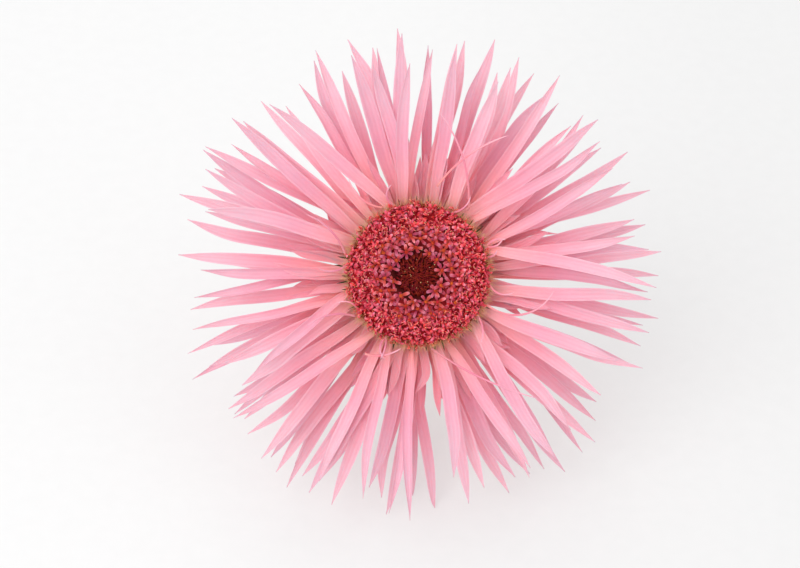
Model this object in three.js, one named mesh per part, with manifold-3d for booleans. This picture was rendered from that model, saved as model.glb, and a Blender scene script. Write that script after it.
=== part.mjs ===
// A cut spider gerbera lying on a table, in millimetres, +Z up.
//
// The flower leans back on its stem: the cut end of the stem lies along the table and the tips of the lowest
// petals touch it, so the face looks up and forwards, towards -Y. The head is built upright in its own group,
// its axis along +Z and its origin where the lowest petals leave the receptacle, and the group is tilted.
// The petals stand in storeys, each a little higher and steeper than the one below, so that they can sweep
// sideways over each other without touching.

import * as THREE from "three";
import { mergeVertices } from "three/addons/utils/BufferGeometryUtils.js";
import Module from "manifold-3d";

const wasm = await Module();
wasm.setup();

// ---------------------------------------------------------------- driving dimensions

const radians = THREE.MathUtils.degToRad;

const HEAD_TILT = radians(50); // the head's axis, away from straight up
const CLEARANCE = 0.35; // left between pieces that touch

const PETAL_LENGTH = 48.5; // of the longest petals, from the claw's foot to the tip
const PETAL_WIDTH = 3.7;
const PETAL_THICKNESS = 0.5;
const PETAL_TROUGH = 0.5; // how far the middle of a petal lies below its edges
const PETAL_DROOP = 2.6; // how far a petal's tip falls below its straight line
const PETAL_LEAN = 8; // how far the tips on one side of a storey lean aside, all together
const CLAW_RADIUS = 12.6; // where the petals' feet stand round the receptacle
const CLAW_SHARE = 0.42; // a petal's width at its foot, as a share of its full width
const STOREY_RISE = 0.8; // from one storey's feet to the next storey's
const SILL_WIDTH = 0.8; // of the ring that the feet of a spray grow together on
const FLOOR_PRESS = 3; // how far the lowest petals are bent up where they meet the table

const DISC_RADIUS = 17.4; // of the whole eye, over the feet of the petals
const DISC_DEPTH = 5.2; // from the underside of its rim to its crown
const EYE_RADIUS = 5.6; // of the unopened buds in the middle
const EYE_DIP = 2.1; // of the buds' middle below the florets round them
const OPEN_FLORET_RADIUS = 11.2; // of the ring of open florets round the buds

const RECEPTACLE_THICKNESS = 4.6;
const CUP_HEIGHT = 15; // of the green involucre, from the stem to its lip
const CUP_WALL = 1.3;
const BRACT_COUNT = 20;
const BRACT_LENGTH = 7;
const BRACT_THICKNESS = 0.9;

const STEM_NECK_RADIUS = 2.6;
const STEM_FOOT_RADIUS = 3.2;
const STEM_NECK_LENGTH = 20; // straight, behind the head
const STEM_LYING_LENGTH = 30; // straight, along the table
const STEM_SIDE_SWAY = -5; // how far the stem wanders to the right, or to the left if below nought

// From the lowest storey to the highest. joined storeys are grown together at their feet, by quarters.
const STOREYS = [
  { name: "outer_petal", count: 12, rise: -10, length: 1.0 },
  { name: "outer_petal", count: 12, rise: -5, length: 1.0 },
  { name: "second_spray", count: 20, rise: 0, length: 0.99, joined: true },
  { name: "second_spray", count: 20, rise: 5, length: 0.98, joined: true },
  { name: "third_spray", count: 20, rise: 10, length: 0.97, joined: true },
  { name: "third_spray", count: 20, rise: 15, length: 0.95, joined: true },
  { name: "inner_petal", count: 8, rise: 20.5, length: 0.93 },
  { name: "inner_petal", count: 8, rise: 26, length: 0.9 },
];
const SPRAYS = 4;
const PARTING_REACH = 2; // how many petals a parting between two sprays may move by, to find a wide gap

// Petals that lie across the others, above every storey: where the foot stands, in degrees counter-clockwise
// from the right, how far the tip is carried round to the left of straight out, and the length, both in
// petal lengths.
const STRAYS = [
  { at: 34, sweep: -0.7, length: 0.8 },
  { at: 52, sweep: -0.35, length: 0.9 },
  { at: 102, sweep: 0.55, length: 0.82 },
  { at: 184, sweep: 0.44, length: 0.68 },
  { at: 263, sweep: 0.09, length: 1.04 },
];
const STRAY_RISE = 29;
const STRAY_BEND = 0.45; // the share of a stray's sideways reach that comes from bending

// How far petals differ from one another, either way, as a share of the size named.
const UNEVEN = { azimuth: 0.1, length: 0.15, width: 0.13, sweep: 0.65, skew: 1.1, droop: 0.3 };
const UNEVEN_RISE = radians(0.4);
const ALTERNATE_RISE = radians(1.25); // every other petal of a storey above it, and the rest below it
const LARGEST_TWIST = radians(26); // of a petal's tip about its own middle line
const STRAY_TWIST = radians(14);
const LEVEL_TURN = 2.39996; // between the first petals of one storey and the next, the golden angle
const LEVEL_LEAN = radians(160); // between the leaning sides of one storey and the next

// ---------------------------------------------------------------- small helpers

const UP = new THREE.Vector3(0, 0, 1);
const TABLE_NORMAL = new THREE.Vector3(0, Math.sin(HEAD_TILT), Math.cos(HEAD_TILT)); // as the head sees it

// A repeatable number from 0 to 1 for the nth piece, another one for each salt.
function scatter(n, salt) {
  const x = Math.sin(n * 12.9898 + salt * 78.233) * 43758.5453;
  return x - Math.floor(x);
}

// The same, from -1 to 1.
function either(n, salt) {
  return 2 * scatter(n, salt) - 1;
}

function solidOf(geometry) {
  const bare = geometry.clone();
  bare.deleteAttribute("normal");
  bare.deleteAttribute("uv");
  const merged = mergeVertices(bare, 1e-4);
  return new wasm.Manifold(
    new wasm.Mesh({
      numProp: 3,
      vertProperties: merged.attributes.position.array,
      triVerts: new Uint32Array(merged.index.array),
    }),
  );
}

function geometryOf(solid) {
  const mesh = solid.getMesh();
  const geometry = new THREE.BufferGeometry();
  geometry.setAttribute(
    "position",
    new THREE.BufferAttribute(mesh.vertProperties, 3),
  );
  geometry.setIndex(new THREE.BufferAttribute(mesh.triVerts, 1));
  geometry.computeVertexNormals();
  return geometry;
}

function joined(geometries) {
  const solids = geometries.map(solidOf);
  return geometryOf(
    solids.slice(1).reduce((sum, solid) => sum.add(solid), solids[0]),
  );
}

// ---------------------------------------------------------------- materials

function material(color, roughness) {
  return new THREE.MeshStandardMaterial({ color, roughness, metalness: 0 });
}

const PETAL = material(0xf6a3bb, 0.6);
const GREEN = material(0x6f8f3e, 0.7);
const STEM_GREEN = material(0x86a350, 0.65);
const CREAM = material(0xe3d8a8, 0.8);
const CRIMSON = material(0xc0394f, 0.55);
const ROSE = material(0xd9607f, 0.55);
const MAROON = material(0x5f1a1c, 0.6);

// ---------------------------------------------------------------- petals

const HEAD_HEIGHT =
  (CLAW_RADIUS + PETAL_LENGTH * Math.cos(radians(STOREYS[0].rise))) *
    Math.sin(HEAD_TILT) -
  PETAL_LENGTH * Math.sin(radians(STOREYS[0].rise)) * Math.cos(HEAD_TILT) -
  FLOOR_PRESS;

// Lifts a point of the head that would be under the table, and hardly moves any other.
function keptOffTable(point) {
  const skin = PETAL_THICKNESS;
  const softness = 0.6;
  const over = (HEAD_HEIGHT + point.dot(TABLE_NORMAL) - skin) / 2;
  const lift = Math.hypot(over, softness) - over;
  return point.addScaledVector(TABLE_NORMAL, lift);
}

// Half the room between two neighbours of one storey at the tips, which a petal may sweep through.
function halfGap(storey) {
  const reach = CLAW_RADIUS + 0.95 * PETAL_LENGTH * storey.length;
  return (Math.PI * reach) / storey.count - PETAL_WIDTH / 2;
}

// The whole plan of one petal: its foot, its size and how it bends.
function petalPlan(storey, level, index) {
  const n = level * 20 + index;
  const spacing = (2 * Math.PI) / storey.count;
  const azimuth = level * LEVEL_TURN + spacing * (index + UNEVEN.azimuth * either(n, 1));
  return {
    azimuth,
    foot: STOREY_RISE * level,
    length: PETAL_LENGTH * storey.length * (1 - UNEVEN.length * scatter(n, 2)),
    width: PETAL_WIDTH * (1 + UNEVEN.width * either(n, 3)),
    rise: radians(storey.rise) + ALTERNATE_RISE * (index % 2 ? 1 : -1) + UNEVEN_RISE * either(n, 4),
    sweep: UNEVEN.sweep * halfGap(storey) * either(n, 5),
    skew:
      PETAL_LEAN * Math.sin(azimuth + level * LEVEL_LEAN) +
      UNEVEN.skew * halfGap(storey) * either(n, 9),
    droop: PETAL_DROOP * (1 + UNEVEN.droop * either(n, 6)),
    twist: LARGEST_TWIST * either(n, 7) * Math.abs(either(n, 8)),
  };
}

// A stray rises as steeply along its own slanting way as a straight petal does, so it clears those
// it crosses.
function strayPlan(stray, index) {
  const aside = stray.sweep * PETAL_LENGTH;
  return {
    azimuth: radians(stray.at),
    foot: STOREY_RISE * STOREYS.length,
    length: PETAL_LENGTH * stray.length,
    width: PETAL_WIDTH,
    rise: Math.atan(Math.tan(radians(STRAY_RISE)) * Math.hypot(1, stray.sweep / stray.length)),
    sweep: STRAY_BEND * aside,
    skew: (1 - STRAY_BEND) * aside,
    droop: PETAL_DROOP,
    twist: STRAY_TWIST * (index % 2 ? 1 : -1),
  };
}

// The petal's middle line, t from 0 at the foot to 1 at the tip. Sideways it goes by skew, which is even, and
// sweep, which grows with the square of the way along; it rises at a steady angle and droops by a square too.
function spinePoint(plan, t) {
  const out = CLAW_RADIUS + plan.length * t * Math.cos(plan.rise);
  const aside = plan.skew * t + plan.sweep * t * t;
  const height =
    plan.foot + plan.length * t * Math.sin(plan.rise) - plan.droop * t * t;
  const point = new THREE.Vector3(out, aside, height);
  return keptOffTable(point.applyAxisAngle(UP, plan.azimuth));
}

// The share of its full width that a petal has at t: a narrow claw, widest past the middle, then a sharp tip.
function petalOutline(t) {
  const widest = 0.6;
  if (t < widest)
    return (
      CLAW_SHARE + (1 - CLAW_SHARE) * Math.sin((0.5 * Math.PI * t) / widest)
    );
  return 1 - ((t - widest) / (1 - widest)) ** 2.2;
}

// A long box bent along a blade's middle line: the box's x goes across, y through and z along the blade. The
// middle of the blade is sunk by the trough, so its section is a shallow V.
function bladeGeometry(plan, steps, spine, outline, thickness, trough) {
  const tipWidth = 0.3;
  const box = new THREE.BoxGeometry(1, 1, 1, 2, 1, steps);
  const position = box.attributes.position;
  const corner = new THREE.Vector3();
  for (let i = 0; i < position.count; i++) {
    corner.fromBufferAttribute(position, i);
    const t = corner.z + 0.5;
    const here = spine(plan, t);
    const along = spine(plan, t + 0.01)
      .sub(spine(plan, t - 0.01))
      .normalize();
    const across = new THREE.Vector3().crossVectors(UP, along).normalize();
    across.applyAxisAngle(along, plan.twist * t);
    const through = new THREE.Vector3().crossVectors(along, across);
    const share = outline(t);
    const sunk = trough * share * (2 * Math.abs(corner.x) - 0.5);
    here.addScaledVector(across, corner.x * Math.max(plan.width * share, tipWidth));
    here.addScaledVector(through, corner.y * thickness + sunk);
    position.setXYZ(i, here.x, here.y, here.z);
  }
  box.computeVertexNormals();
  return box;
}

function petalGeometry(plan) {
  return bladeGeometry(plan, 8, spinePoint, petalOutline, PETAL_THICKNESS, PETAL_TROUGH);
}

// The sill that the feet of a spray grow together on: a quarter ring of rectangular section.
function sillGeometry(fromAngle, toAngle, low, high) {
  const steps = 9;
  const box = new THREE.BoxGeometry(1, 1, 1, 1, 1, steps);
  const position = box.attributes.position;
  for (let i = 0; i < position.count; i++) {
    const radius = CLAW_RADIUS + SILL_WIDTH * (position.getX(i) + 0.25);
    const angle = THREE.MathUtils.lerp(toAngle, fromAngle, position.getZ(i) + 0.5);
    const height = THREE.MathUtils.lerp(low, high, position.getY(i) + 0.5);
    position.setXYZ(i, radius * Math.cos(angle), radius * Math.sin(angle), height);
  }
  return box;
}

function numbered(name, number) {
  return `${name}_${String(number).padStart(2, "0")}`;
}

function named(name, geometry, look) {
  const mesh = new THREE.Mesh(geometry, look);
  mesh.name = name;
  return mesh;
}

// Single petals, one mesh each.
function singlePetals() {
  const counters = {};
  const meshes = [];
  STOREYS.forEach((storey, level) => {
    if (storey.joined) return;
    for (let index = 0; index < storey.count; index++) {
      counters[storey.name] = (counters[storey.name] ?? 0) + 1;
      const name = numbered(storey.name, counters[storey.name]);
      const plan = petalPlan(storey, level, index);
      meshes.push(named(name, petalGeometry(plan), PETAL));
    }
  });
  STRAYS.forEach((stray, index) => {
    const plan = strayPlan(stray, index);
    meshes.push(
      named(numbered("stray_petal", index + 1), petalGeometry(plan), PETAL),
    );
  });
  return meshes;
}

// The azimuth of the ith of a ring of petals, where i may run past either end of the list.
function azimuthOf(ring, i) {
  const round = Math.floor(i / ring.length);
  return ring[i - round * ring.length].azimuth + 2 * Math.PI * round;
}

// Where a ring of petals is parted into sprays: close to even shares, each at the widest gap near there.
function partings(ring) {
  const gapBefore = (i) => azimuthOf(ring, i) - azimuthOf(ring, i - 1);
  return Array.from({ length: SPRAYS + 1 }, (_, quarter) => {
    const even = Math.round(((quarter % SPRAYS) * ring.length) / SPRAYS);
    let widest = even;
    for (let i = even - PARTING_REACH; i <= even + PARTING_REACH; i++)
      if (gapBefore(i) > gapBefore(widest)) widest = i;
    return widest + (quarter === SPRAYS ? ring.length : 0);
  });
}

// Two storeys of petals, grown together at their feet in quarters of the ring.
function sprays(name) {
  const members = [];
  const levels = [];
  STOREYS.forEach((storey, level) => {
    if (storey.name !== name) return;
    levels.push(level);
    for (let index = 0; index < storey.count; index++)
      members.push(petalPlan(storey, level, index));
  });
  const turn = 2 * Math.PI;
  members.forEach((plan) => {
    plan.azimuth = ((plan.azimuth % turn) + turn) % turn;
  });
  members.sort((a, b) => a.azimuth - b.azimuth);
  const parting = partings(members);
  const skin = PETAL_THICKNESS / 2 - 0.1;
  const low = STOREY_RISE * levels[0] - skin;
  const high = STOREY_RISE * levels[levels.length - 1] + skin;
  return Array.from({ length: SPRAYS }, (_, quarter) => {
    const first = parting[quarter];
    const own = Array.from({ length: parting[quarter + 1] - first }, (_, step) => ({
      ...members[(first + step + members.length) % members.length],
      azimuth: azimuthOf(members, first + step),
    }));
    const sill = sillGeometry(
      own[0].azimuth,
      own[own.length - 1].azimuth,
      low,
      high,
    );
    return named(
      numbered(name, quarter + 1),
      joined([sill, ...own.map(petalGeometry)]),
      PETAL,
    );
  });
}

// ---------------------------------------------------------------- the eye

const SEGMENTS = 40;
const TOP_FOOT = STOREY_RISE * STOREYS.length; // of the strays, the highest petals
const CORE_RADIUS = CLAW_RADIUS - SILL_WIDTH / 4 - CLEARANCE; // inside the sills of the sprays
const RIM_ROUNDING = 1.6; // of the outer edge of the rim florets

// A solid of revolution about the head's axis from [radius, height] corners, counter-clockwise from the axis.
function turned(profile, segments = SEGMENTS) {
  const points = profile.map(([r, z]) => new THREE.Vector2(r, z));
  return new THREE.LatheGeometry(points, segments).rotateX(Math.PI / 2);
}

// How high the undersides of the rim florets are at a radius, over the backs of the highest petals.
const STEEPEST_SLOPE = Math.max(...STRAYS.map((stray, index) => Math.tan(strayPlan(stray, index).rise)));

function rimUnderside(radius) {
  const petalTop = TOP_FOOT + (PETAL_THICKNESS + PETAL_TROUGH) / 2 + CLEARANCE;
  return petalTop + Math.max(0, radius - CLAW_RADIUS) * STEEPEST_SLOPE;
}

const CROWN = rimUnderside(DISC_RADIUS) + DISC_DEPTH * 0.55;
const FLORET_FLOOR = rimUnderside(0);

function pappusGeometry() {
  return turned([
    [0, CLEARANCE],
    [CORE_RADIUS, CLEARANCE],
    [CORE_RADIUS, FLORET_FLOOR - CLEARANCE],
    [0, FLORET_FLOOR - CLEARANCE],
  ]);
}

function rimFloretGeometry() {
  const inner = OPEN_FLORET_RADIUS + CLEARANCE;
  return turned(
    [
      [inner, FLORET_FLOOR],
      [CLAW_RADIUS, rimUnderside(CLAW_RADIUS)],
      [DISC_RADIUS, rimUnderside(DISC_RADIUS)],
      [DISC_RADIUS + 0.2, CROWN - RIM_ROUNDING],
      [DISC_RADIUS - RIM_ROUNDING, CROWN],
      [inner, CROWN + 0.4],
      [inner, FLORET_FLOOR],
    ],
    SEGMENTS,
  );
}

function openFloretGeometry() {
  const inner = EYE_RADIUS + CLEARANCE;
  return turned([
    [inner, FLORET_FLOOR],
    [OPEN_FLORET_RADIUS, FLORET_FLOOR],
    [OPEN_FLORET_RADIUS, CROWN + 0.1],
    [OPEN_FLORET_RADIUS - 2, CROWN - 0.2],
    [inner, CROWN - EYE_DIP * 0.7],
    [inner, FLORET_FLOOR],
  ]);
}

function eyeGeometry() {
  return turned([
    [0, FLORET_FLOOR],
    [EYE_RADIUS, FLORET_FLOOR],
    [EYE_RADIUS, CROWN - EYE_DIP * 1.5],
    [EYE_RADIUS * 0.6, CROWN - EYE_DIP * 1.15],
    [0, CROWN - EYE_DIP],
  ]);
}

// ---------------------------------------------------------------- receptacle, involucre and stem

const LIP_RADIUS = CLAW_RADIUS + 2.2;
const CUP_TOP = -1.8; // under the lowest petals, which dip a little as they leave
const RECEPTACLE_TOP = -PETAL_THICKNESS / 2 - PETAL_TROUGH * CLAW_SHARE * 0.5 - CLEARANCE;
const CUP_FLOOR = RECEPTACLE_TOP - RECEPTACLE_THICKNESS - CLEARANCE; // inside, under the receptacle
const RECEPTACLE_TAPER = 2.6; // its rim stands out this far over its underside

function receptacleGeometry() {
  const radius = CLAW_RADIUS + 1;
  const underside = RECEPTACLE_TOP - RECEPTACLE_THICKNESS;
  return turned([
    [0, underside],
    [radius - RECEPTACLE_TAPER, underside],
    [radius, underside + RECEPTACLE_THICKNESS * 0.7],
    [radius, RECEPTACLE_TOP - 0.4],
    [radius - 0.6, RECEPTACLE_TOP],
    [0, RECEPTACLE_TOP],
  ]);
}

// A green bract: a short blade that leaves the cup's side and bends out under the petals.
function bractPoint(plan, t) {
  const out = LIP_RADIUS - 1.6 + plan.length * 0.62 * t;
  const height = CUP_TOP - 3.2 + 3.1 * t - plan.length * 0.12 * t * t;
  return new THREE.Vector3(out, 0, height).applyAxisAngle(UP, plan.azimuth);
}

function bractOutline(t) {
  return Math.sqrt(Math.max(0, 1 - t * t));
}

function involucreGeometry() {
  const bottom = -CUP_HEIGHT - PETAL_THICKNESS;
  const mouth = LIP_RADIUS - CUP_WALL + 0.5;
  const cup = turned([
    [0, bottom],
    [STEM_NECK_RADIUS + 0.6, bottom],
    [LIP_RADIUS * 0.62, bottom + CUP_HEIGHT * 0.26],
    [LIP_RADIUS * 0.92, bottom + CUP_HEIGHT * 0.6],
    [LIP_RADIUS, CUP_TOP - 1.2],
    [LIP_RADIUS, CUP_TOP],
    [mouth, CUP_TOP],
    [mouth, CUP_TOP - 1],
    [CLAW_RADIUS + 1 - RECEPTACLE_TAPER + CLEARANCE, CUP_FLOOR],
    [0, CUP_FLOOR],
  ]);
  const bracts = Array.from({ length: BRACT_COUNT }, (_, index) =>
    bladeGeometry(
      {
        azimuth: (2 * Math.PI * index) / BRACT_COUNT,
        length: BRACT_LENGTH * (1 + 0.1 * either(index, 11)),
        width: ((2 * Math.PI * LIP_RADIUS) / BRACT_COUNT) * 0.8,
        twist: 0,
      },
      3,
      bractPoint,
      bractOutline,
      BRACT_THICKNESS,
      0,
    ),
  );
  return joined([cup, ...bracts]);
}

// The stem's middle line in the table's frame, under a head at the origin: straight back from the head, round
// an arc on to the table, and straight along it.
function stemPath() {
  const back = new THREE.Vector3(0, Math.sin(HEAD_TILT), -Math.cos(HEAD_TILT));
  const start = back
    .clone()
    .multiplyScalar(CUP_HEIGHT + PETAL_THICKNESS + CLEARANCE)
    .setX(0);
  start.z += HEAD_HEIGHT;
  const neck = start.clone().addScaledVector(back, STEM_NECK_LENGTH);
  const arcRadius = (neck.z - STEM_FOOT_RADIUS) / (1 - Math.sin(HEAD_TILT));
  const arcCentre = new THREE.Vector3(
    0,
    neck.y + arcRadius * Math.cos(HEAD_TILT),
    STEM_FOOT_RADIUS + arcRadius,
  );
  const middle = (t) => {
    const angle = HEAD_TILT + t * (Math.PI / 2 - HEAD_TILT);
    return new THREE.Vector3(
      STEM_SIDE_SWAY * t * t * 0.5,
      arcCentre.y - arcRadius * Math.cos(angle),
      arcCentre.z - arcRadius * Math.sin(angle),
    );
  };
  const landing = middle(1);
  return new THREE.CatmullRomCurve3(
    [
      start,
      neck,
      ...[0.2, 0.4, 0.6, 0.8, 1].map(middle),
      landing.clone().add(new THREE.Vector3(STEM_SIDE_SWAY * 0.3, STEM_LYING_LENGTH * 0.5, 0)),
      landing.clone().add(new THREE.Vector3(STEM_SIDE_SWAY * 0.5, STEM_LYING_LENGTH, 0)),
    ],
    false,
    "centripetal",
  );
}

// A round bar along the path, thicker towards the cut end.
function stemGeometry() {
  const steps = 22;
  const sides = 14;
  const path = stemPath();
  const bar = new THREE.CylinderGeometry(1, 1, 1, sides, steps);
  const position = bar.attributes.position;
  for (let i = 0; i < position.count; i++) {
    const t = 0.5 - position.getY(i);
    const here = path.getPointAt(t);
    const along = path.getTangentAt(t);
    const across = new THREE.Vector3(1, 0, 0)
      .addScaledVector(along, -along.x)
      .normalize();
    const through = new THREE.Vector3().crossVectors(along, across);
    const radius = THREE.MathUtils.lerp(STEM_NECK_RADIUS, STEM_FOOT_RADIUS, t);
    here.addScaledVector(across, radius * position.getX(i));
    here.addScaledVector(through, radius * position.getZ(i));
    position.setXYZ(i, here.x, here.y, here.z);
  }
  bar.computeVertexNormals();
  return bar;
}

// ---------------------------------------------------------------- assembly

const head = new THREE.Group();
head.add(
  named("receptacle", receptacleGeometry(), CREAM),
  named("involucre", involucreGeometry(), GREEN),
  named("pappus", pappusGeometry(), CREAM),
  named("rim_florets", rimFloretGeometry(), CRIMSON),
  named("open_florets", openFloretGeometry(), ROSE),
  named("centre_buds", eyeGeometry(), MAROON),
  ...singlePetals(),
  ...sprays("second_spray"),
  ...sprays("third_spray"),
);
head.rotation.x = HEAD_TILT;
head.position.z = HEAD_HEIGHT;

const flower = new THREE.Group();
flower.add(head, named("stem", stemGeometry(), STEM_GREEN));

// The part's origin is on the table, under the middle of the flower's box.
const gerbera = new THREE.Group();
gerbera.add(flower);
gerbera.updateMatrixWorld(true);
const box = new THREE.Box3().setFromObject(flower, true);
flower.position.set(
  -(box.min.x + box.max.x) / 2,
  -(box.min.y + box.max.y) / 2,
  -box.min.z,
);

export default gerbera;
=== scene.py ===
"""A cut spider gerbera that leans back on its stem, on a pale table.

Shapes are worked out in millimetres, most of them in the head's own frame: its axis is +Z and its origin is
where the lowest petals leave the receptacle. Each shape is a closed skin over a stack of rings.
"""

import logging
import math
from dataclasses import dataclass, field, replace
from enum import Enum, IntEnum
from typing import Callable, ClassVar, Optional, Sequence

import bpy
import numpy as np
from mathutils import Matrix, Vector
from numpy.typing import NDArray

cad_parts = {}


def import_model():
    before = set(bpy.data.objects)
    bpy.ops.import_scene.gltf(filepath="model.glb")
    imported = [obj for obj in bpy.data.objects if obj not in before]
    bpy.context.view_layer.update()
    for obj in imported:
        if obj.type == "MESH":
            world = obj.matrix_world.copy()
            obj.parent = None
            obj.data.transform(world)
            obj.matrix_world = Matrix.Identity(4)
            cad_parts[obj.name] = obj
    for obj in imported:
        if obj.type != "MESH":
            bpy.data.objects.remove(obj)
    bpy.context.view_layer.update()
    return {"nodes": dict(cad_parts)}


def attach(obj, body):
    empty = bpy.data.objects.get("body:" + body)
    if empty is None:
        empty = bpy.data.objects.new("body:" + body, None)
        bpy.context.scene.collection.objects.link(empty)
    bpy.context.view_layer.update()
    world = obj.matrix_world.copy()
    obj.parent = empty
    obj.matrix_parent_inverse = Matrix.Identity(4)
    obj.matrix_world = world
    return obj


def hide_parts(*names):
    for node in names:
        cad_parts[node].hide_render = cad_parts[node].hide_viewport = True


Array = NDArray[np.float64]
Triple = tuple[float, float, float]
Colour = Triple
Range = tuple[float, float]
Socket = bpy.types.NodeSocket
log = logging.getLogger("gerbera")

MM = 0.001
TURN = 2 * math.pi
GOLDEN_TURN = 2.39996
UP = np.array([0.0, 0.0, 1.0])
LEAST_LENGTH = 1e-12
LEAST_BEND = 1e-3
LEAST_SHARE = 0.06
SCATTER_STEP, SCATTER_SALT, SCATTER_GAIN = 12.9898, 78.233, 43758.5453


class Slot(Enum):
    """The record's material slots."""

    PETAL = "petal_pink"
    BRACT = "bract_green"
    STEM = "stem_green"
    FLESH = "receptacle_flesh"
    PAPPUS = "pappus_bristle"
    CRIMSON = "floret_crimson"
    ROSE = "floret_rose"
    MAROON = "bud_maroon"


class Field(Enum):
    """The numbers that every point of a piece carries for its material."""

    ALONG = "along"
    ACROSS = "across"
    TONE = "tone"
    UNDER = "under"


class Salt(IntEnum):
    """Which set of repeatable numbers a measure is scattered by."""

    PLACE = 1
    LENGTH = 2
    WIDTH = 3
    RISE = 4
    SWEEP = 5
    DROOP = 6
    TWIST = 7
    TWIST_SHARE = 8
    SKEW = 9
    WAVE_PITCH = 21
    WAVE_START = 22
    HOOK = 23
    LIFT = 24
    CHANNEL = 25
    CANT = 26
    RIPPLE = 27
    TONE = 28
    BRACT_TIP = 41
    BRACT_FLARE = 42
    BRACT_PLACE = 43
    BRACT_TONE = 44
    CROSSING = 61
    TANGLE = 62
    THREAD_TONE = 3


# -------------------- numbers and vectors


def scatter(n: Array, salt: int) -> Array:
    """Repeatable numbers from 0 to 1: the fraction of a large multiple of a sine of n and salt.

    Args:
        n: The numbers of the pieces.
        salt: Picks another set for the same pieces.

    Returns:
        One number for each n.
    """
    x = np.sin(n * SCATTER_STEP + salt * SCATTER_SALT) * SCATTER_GAIN
    return x - np.floor(x)


def either(n: Array, salt: int) -> Array:
    """The same numbers spread from -1 to 1."""
    return 2 * scatter(n, salt) - 1


def unit(v: Array) -> Array:
    """Vectors scaled to length 1 along the last axis."""
    return v / np.maximum(np.linalg.norm(v, axis=-1, keepdims=True), LEAST_LENGTH)


def square_to(heading: Array, guess: Array) -> Array:
    """The unit vectors nearest to guess that are square to heading."""
    return unit(guess - heading * np.sum(guess * heading, axis=-1, keepdims=True))


def polar(radius: Array, angle: Array, height: Array) -> Array:
    """Points at a radius and an angle about the axis, at a height."""
    radius, angle, height = np.broadcast_arrays(radius, angle, height)
    return np.stack([radius * np.cos(angle), radius * np.sin(angle), height], -1)


def leaning(azimuth: Array, elevation: Array) -> Array:
    """Unit vectors that point along an azimuth and rise by an elevation."""
    return polar(np.cos(elevation), azimuth, np.sin(elevation))


def eased(low: float, high: float, x: Array) -> Array:
    """A smooth step: 0 below low, 1 above high, and 3s^2 - 2s^3 between them."""
    s = np.clip((x - low) / (high - low), 0, 1)
    return s * s * (3 - 2 * s)


# -------------------- closed skins


@dataclass
class Skin:
    """Closed skins of one pattern: points[k, t, s] is corner s of ring t of skin k, in millimetres.

    The rings run counter-clockwise about the way the skin grows, so that its faces point outwards.
    """

    points: Array
    tone: Array
    along: Optional[Array] = None
    across: Optional[Array] = None
    under: Optional[Array] = None

    def fields(self) -> dict[Field, Array]:
        """The numbers for the material, one for each point.

        Returns:
            For each field, an array over all points. Left out, along runs from 0 to 1 over the rings, across
            is the cosine of the way round a ring, and under is 0.
        """
        count, rows, sides, _ = self.points.shape
        shape = (count, rows, sides)
        along = np.linspace(0, 1, rows)[None, :, None] if self.along is None else self.along
        across = np.cos(ring_angles(sides))[None, None] if self.across is None else self.across
        under = np.zeros((1, 1, 1)) if self.under is None else self.under
        given = {
            Field.ALONG: along,
            Field.ACROSS: across,
            Field.TONE: np.asarray(self.tone).reshape(-1, 1, 1),
            Field.UNDER: under,
        }
        return {name: np.broadcast_to(value, shape).ravel() for name, value in given.items()}

    def corners(self) -> tuple[Array, Array]:
        """Numbers the corners of every face.

        Returns:
            Those of the four-sided faces between rings, and those of the caps at both ends.
        """
        count, rows, sides, _ = self.points.shape
        first = (np.arange(count) * rows * sides)[:, None, None]
        row = (np.arange(rows - 1) * sides)[None, :, None]
        side = np.arange(sides)[None, None]
        after = (side + 1) % sides
        near, far = first + row, first + row + sides
        quads = np.stack([near + side, near + after, far + after, far + side], -1).reshape(-1, 4)
        start = first[:, 0] + np.arange(sides)[::-1]
        end = first[:, 0] + (rows - 1) * sides + np.arange(sides)
        return quads, np.concatenate([start, end])

    def take(self, rows: Sequence[int]) -> "Skin":
        """Only some of the skins, by number."""
        keep = list(rows)
        return Skin(self.points[keep], self.tone[keep], self.along, self.across, self.under)


def ring_angles(sides: int) -> Array:
    """Evenly spaced angles round a ring."""
    return np.arange(sides) * TURN / sides


def mesh_of(name: str, skins: Sequence[Skin], place: Callable[[Array], Array]) -> bpy.types.Mesh:
    """Puts skins into one mesh with their fields as attributes.

    Args:
        name: The mesh's name.
        skins: What it is made of.
        place: Carries points in millimetres to metres in the table's frame.

    Returns:
        The mesh, smooth-shaded.
    """
    points, loops, sizes, count = [], [], [], 0
    for skin in skins:
        flat = skin.points.reshape(-1, 3)
        for corners in skin.corners():
            loops.append(corners.ravel() + count)
            sizes.append(np.full(len(corners), corners.shape[1]))
        points.append(flat)
        count += len(flat)
    placed, loop, size = place(np.concatenate(points)), np.concatenate(loops), np.concatenate(sizes)
    mesh = bpy.data.meshes.new(name)
    mesh.vertices.add(count)
    mesh.vertices.foreach_set("co", placed.astype(np.float32).ravel())
    mesh.loops.add(len(loop))
    mesh.loops.foreach_set("vertex_index", loop.astype(np.int32))
    mesh.polygons.add(len(size))
    mesh.polygons.foreach_set("loop_start", (np.cumsum(size) - size).astype(np.int32))
    mesh.polygons.foreach_set("use_smooth", np.ones(len(size), bool))
    mesh.update(calc_edges=True)
    for kind in Field:
        values = np.concatenate([skin.fields()[kind] for skin in skins])
        layer = mesh.attributes.new(kind.value, "FLOAT", "POINT")
        layer.data.foreach_set("value", values.astype(np.float32))
    mesh.validate()
    return mesh


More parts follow.
